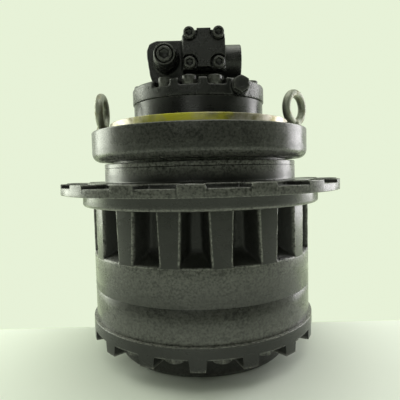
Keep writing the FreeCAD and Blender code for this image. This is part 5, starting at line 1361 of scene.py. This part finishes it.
class FD_OT_stage(BuildStep):
    """Lay the floor, light the drive and set up the camera"""
    bl_idname = "final_drive.stage"
    bl_label = "Stage"

    def build(self):
        c = colours()
        height = CAD_BOX[0].z
        reach_out = 6.0
        floor = bpy.data.meshes.new("floor")
        floor.from_pydata([(-reach_out, -reach_out, height), (reach_out, -reach_out, height),
                           (reach_out, reach_out, height), (-reach_out, reach_out, height)],
                          [], [(0, 1, 2, 3)])
        floor.materials.append(floor_material(c, 0.085))
        new_object("floor", floor)
        self.lamps()
        self.surroundings(c)
        self.camera()

    def lamps(self):
        for name, place, size, power, tint in (
                ("left_window", (-2.4, 1.0, 0.3), (1.4, 2.8), 62, (0.95, 1.0, 0.86)),
                ("right_window", (2.4, 1.0, 0.3), (1.2, 2.6), 50, (1.0, 0.97, 1.0)),
                ("ceiling", (0.2, -0.2, 2.6), (2.4, 2.0), 34, (1.0, 1.0, 0.94)),
                ("front_fill", (-0.5, -2.6, 1.2), (1.2, 0.9), 5, (0.96, 1.0, 0.9))):
            lamp = bpy.data.lights.new(name, "AREA")
            lamp.shape = "RECTANGLE"
            lamp.size, lamp.size_y = size
            lamp.energy = power
            lamp.color = tint
            obj = bpy.data.objects.new(name, lamp)
            obj.location = place
            aim = Vector((0, 0, -0.15)) - Vector(place)
            obj.rotation_euler = aim.to_track_quat("-Z", "Y").to_euler()
            bpy.context.scene.collection.objects.link(obj)

    def surroundings(self, c):
        """Pale room: bright at the sides and behind, dimmer in front."""
        world = bpy.data.worlds.new("room")
        world.use_nodes = True
        tree = world.node_tree
        background = tree.nodes["Background"]
        split = tree.nodes.new("ShaderNodeSeparateXYZ")
        link(tree, tree.nodes.new("ShaderNodeTexCoord").outputs["Generated"], split.inputs[0])
        behind = ramp(tree, split.outputs["Y"], -0.6, 0.3, 0.08, 0.95)
        lit = mixed(tree, behind, (0.0, 0.0, 0.0), c.wall)
        paths = tree.nodes.new("ShaderNodeLightPath").outputs
        seen = paths["Is Camera Ray"]
        link(tree, mixed(tree, seen, lit, c.wall), background.inputs["Color"])
        bpy.context.scene.world = world
        bpy.context.scene.view_settings.view_transform = "Standard"

    def camera(self):
        pitch, roll = math.radians(3.89), math.radians(1.34)
        ahead = Vector((0, math.cos(pitch), -math.sin(pitch)))
        up = Vector((0, math.sin(pitch), math.cos(pitch)))
        right = Vector((1, 0, 0))
        axes = (right * math.cos(roll) - up * math.sin(roll),
                right * math.sin(roll) + up * math.cos(roll), -ahead)
        lens = bpy.data.cameras.new("camera")
        lens.lens = 35.757
        camera = bpy.data.objects.new("camera", lens)
        turned_axes = Matrix(axes).transposed().to_4x4()
        camera.matrix_world = Matrix.Translation((-0.0012, -0.975, -0.096)) @ turned_axes
        bpy.context.scene.collection.objects.link(camera)
        bpy.context.scene.camera = camera


STEPS = (
    FD_OT_finishes, FD_OT_inner_parts, FD_OT_mounting_flange, FD_OT_hub, FD_OT_ring_gear,
    FD_OT_end_cover, FD_OT_cover_bolts, FD_OT_plugs, FD_OT_motor_head, FD_OT_motor_screws,
    FD_OT_lifting_eyes, FD_OT_stage,
)


class FD_PT_panel(bpy.types.Panel):
    """Sidebar panel with the sizes, the colours and every building step"""
    bl_idname = "FD_PT_panel"
    bl_label = "Final drive"
    bl_space_type = "VIEW_3D"
    bl_region_type = "UI"
    bl_category = "Final drive"

    def draw(self, context):
        layout = self.layout
        for settings in (sizes(), colours()):
            column = layout.column(align=True)
            for prop in settings.bl_rna.properties:
                if prop.identifier not in ("rna_type", "name"):
                    column.prop(settings, prop.identifier)
        for step in STEPS:
            layout.operator(step.bl_idname)


CLASSES = (FinalDriveSizes, FinalDriveColours, *STEPS, FD_PT_panel)


def register():
    for item in CLASSES:
        bpy.utils.register_class(item)
    bpy.types.Scene.final_drive_sizes = bpy.props.PointerProperty(type=FinalDriveSizes)
    bpy.types.Scene.final_drive_colours = bpy.props.PointerProperty(type=FinalDriveColours)


def unregister():
    del bpy.types.Scene.final_drive_colours
    del bpy.types.Scene.final_drive_sizes
    for item in reversed(CLASSES):
        bpy.utils.unregister_class(item)


def main():
    register()
    for step in STEPS:
        category, name = step.bl_idname.split(".")
        result = getattr(getattr(bpy.ops, category), name)()
        if result != {"FINISHED"}:
            raise RuntimeError(f"{step.bl_label} did not finish")


if __name__ == "__main__":
    main()
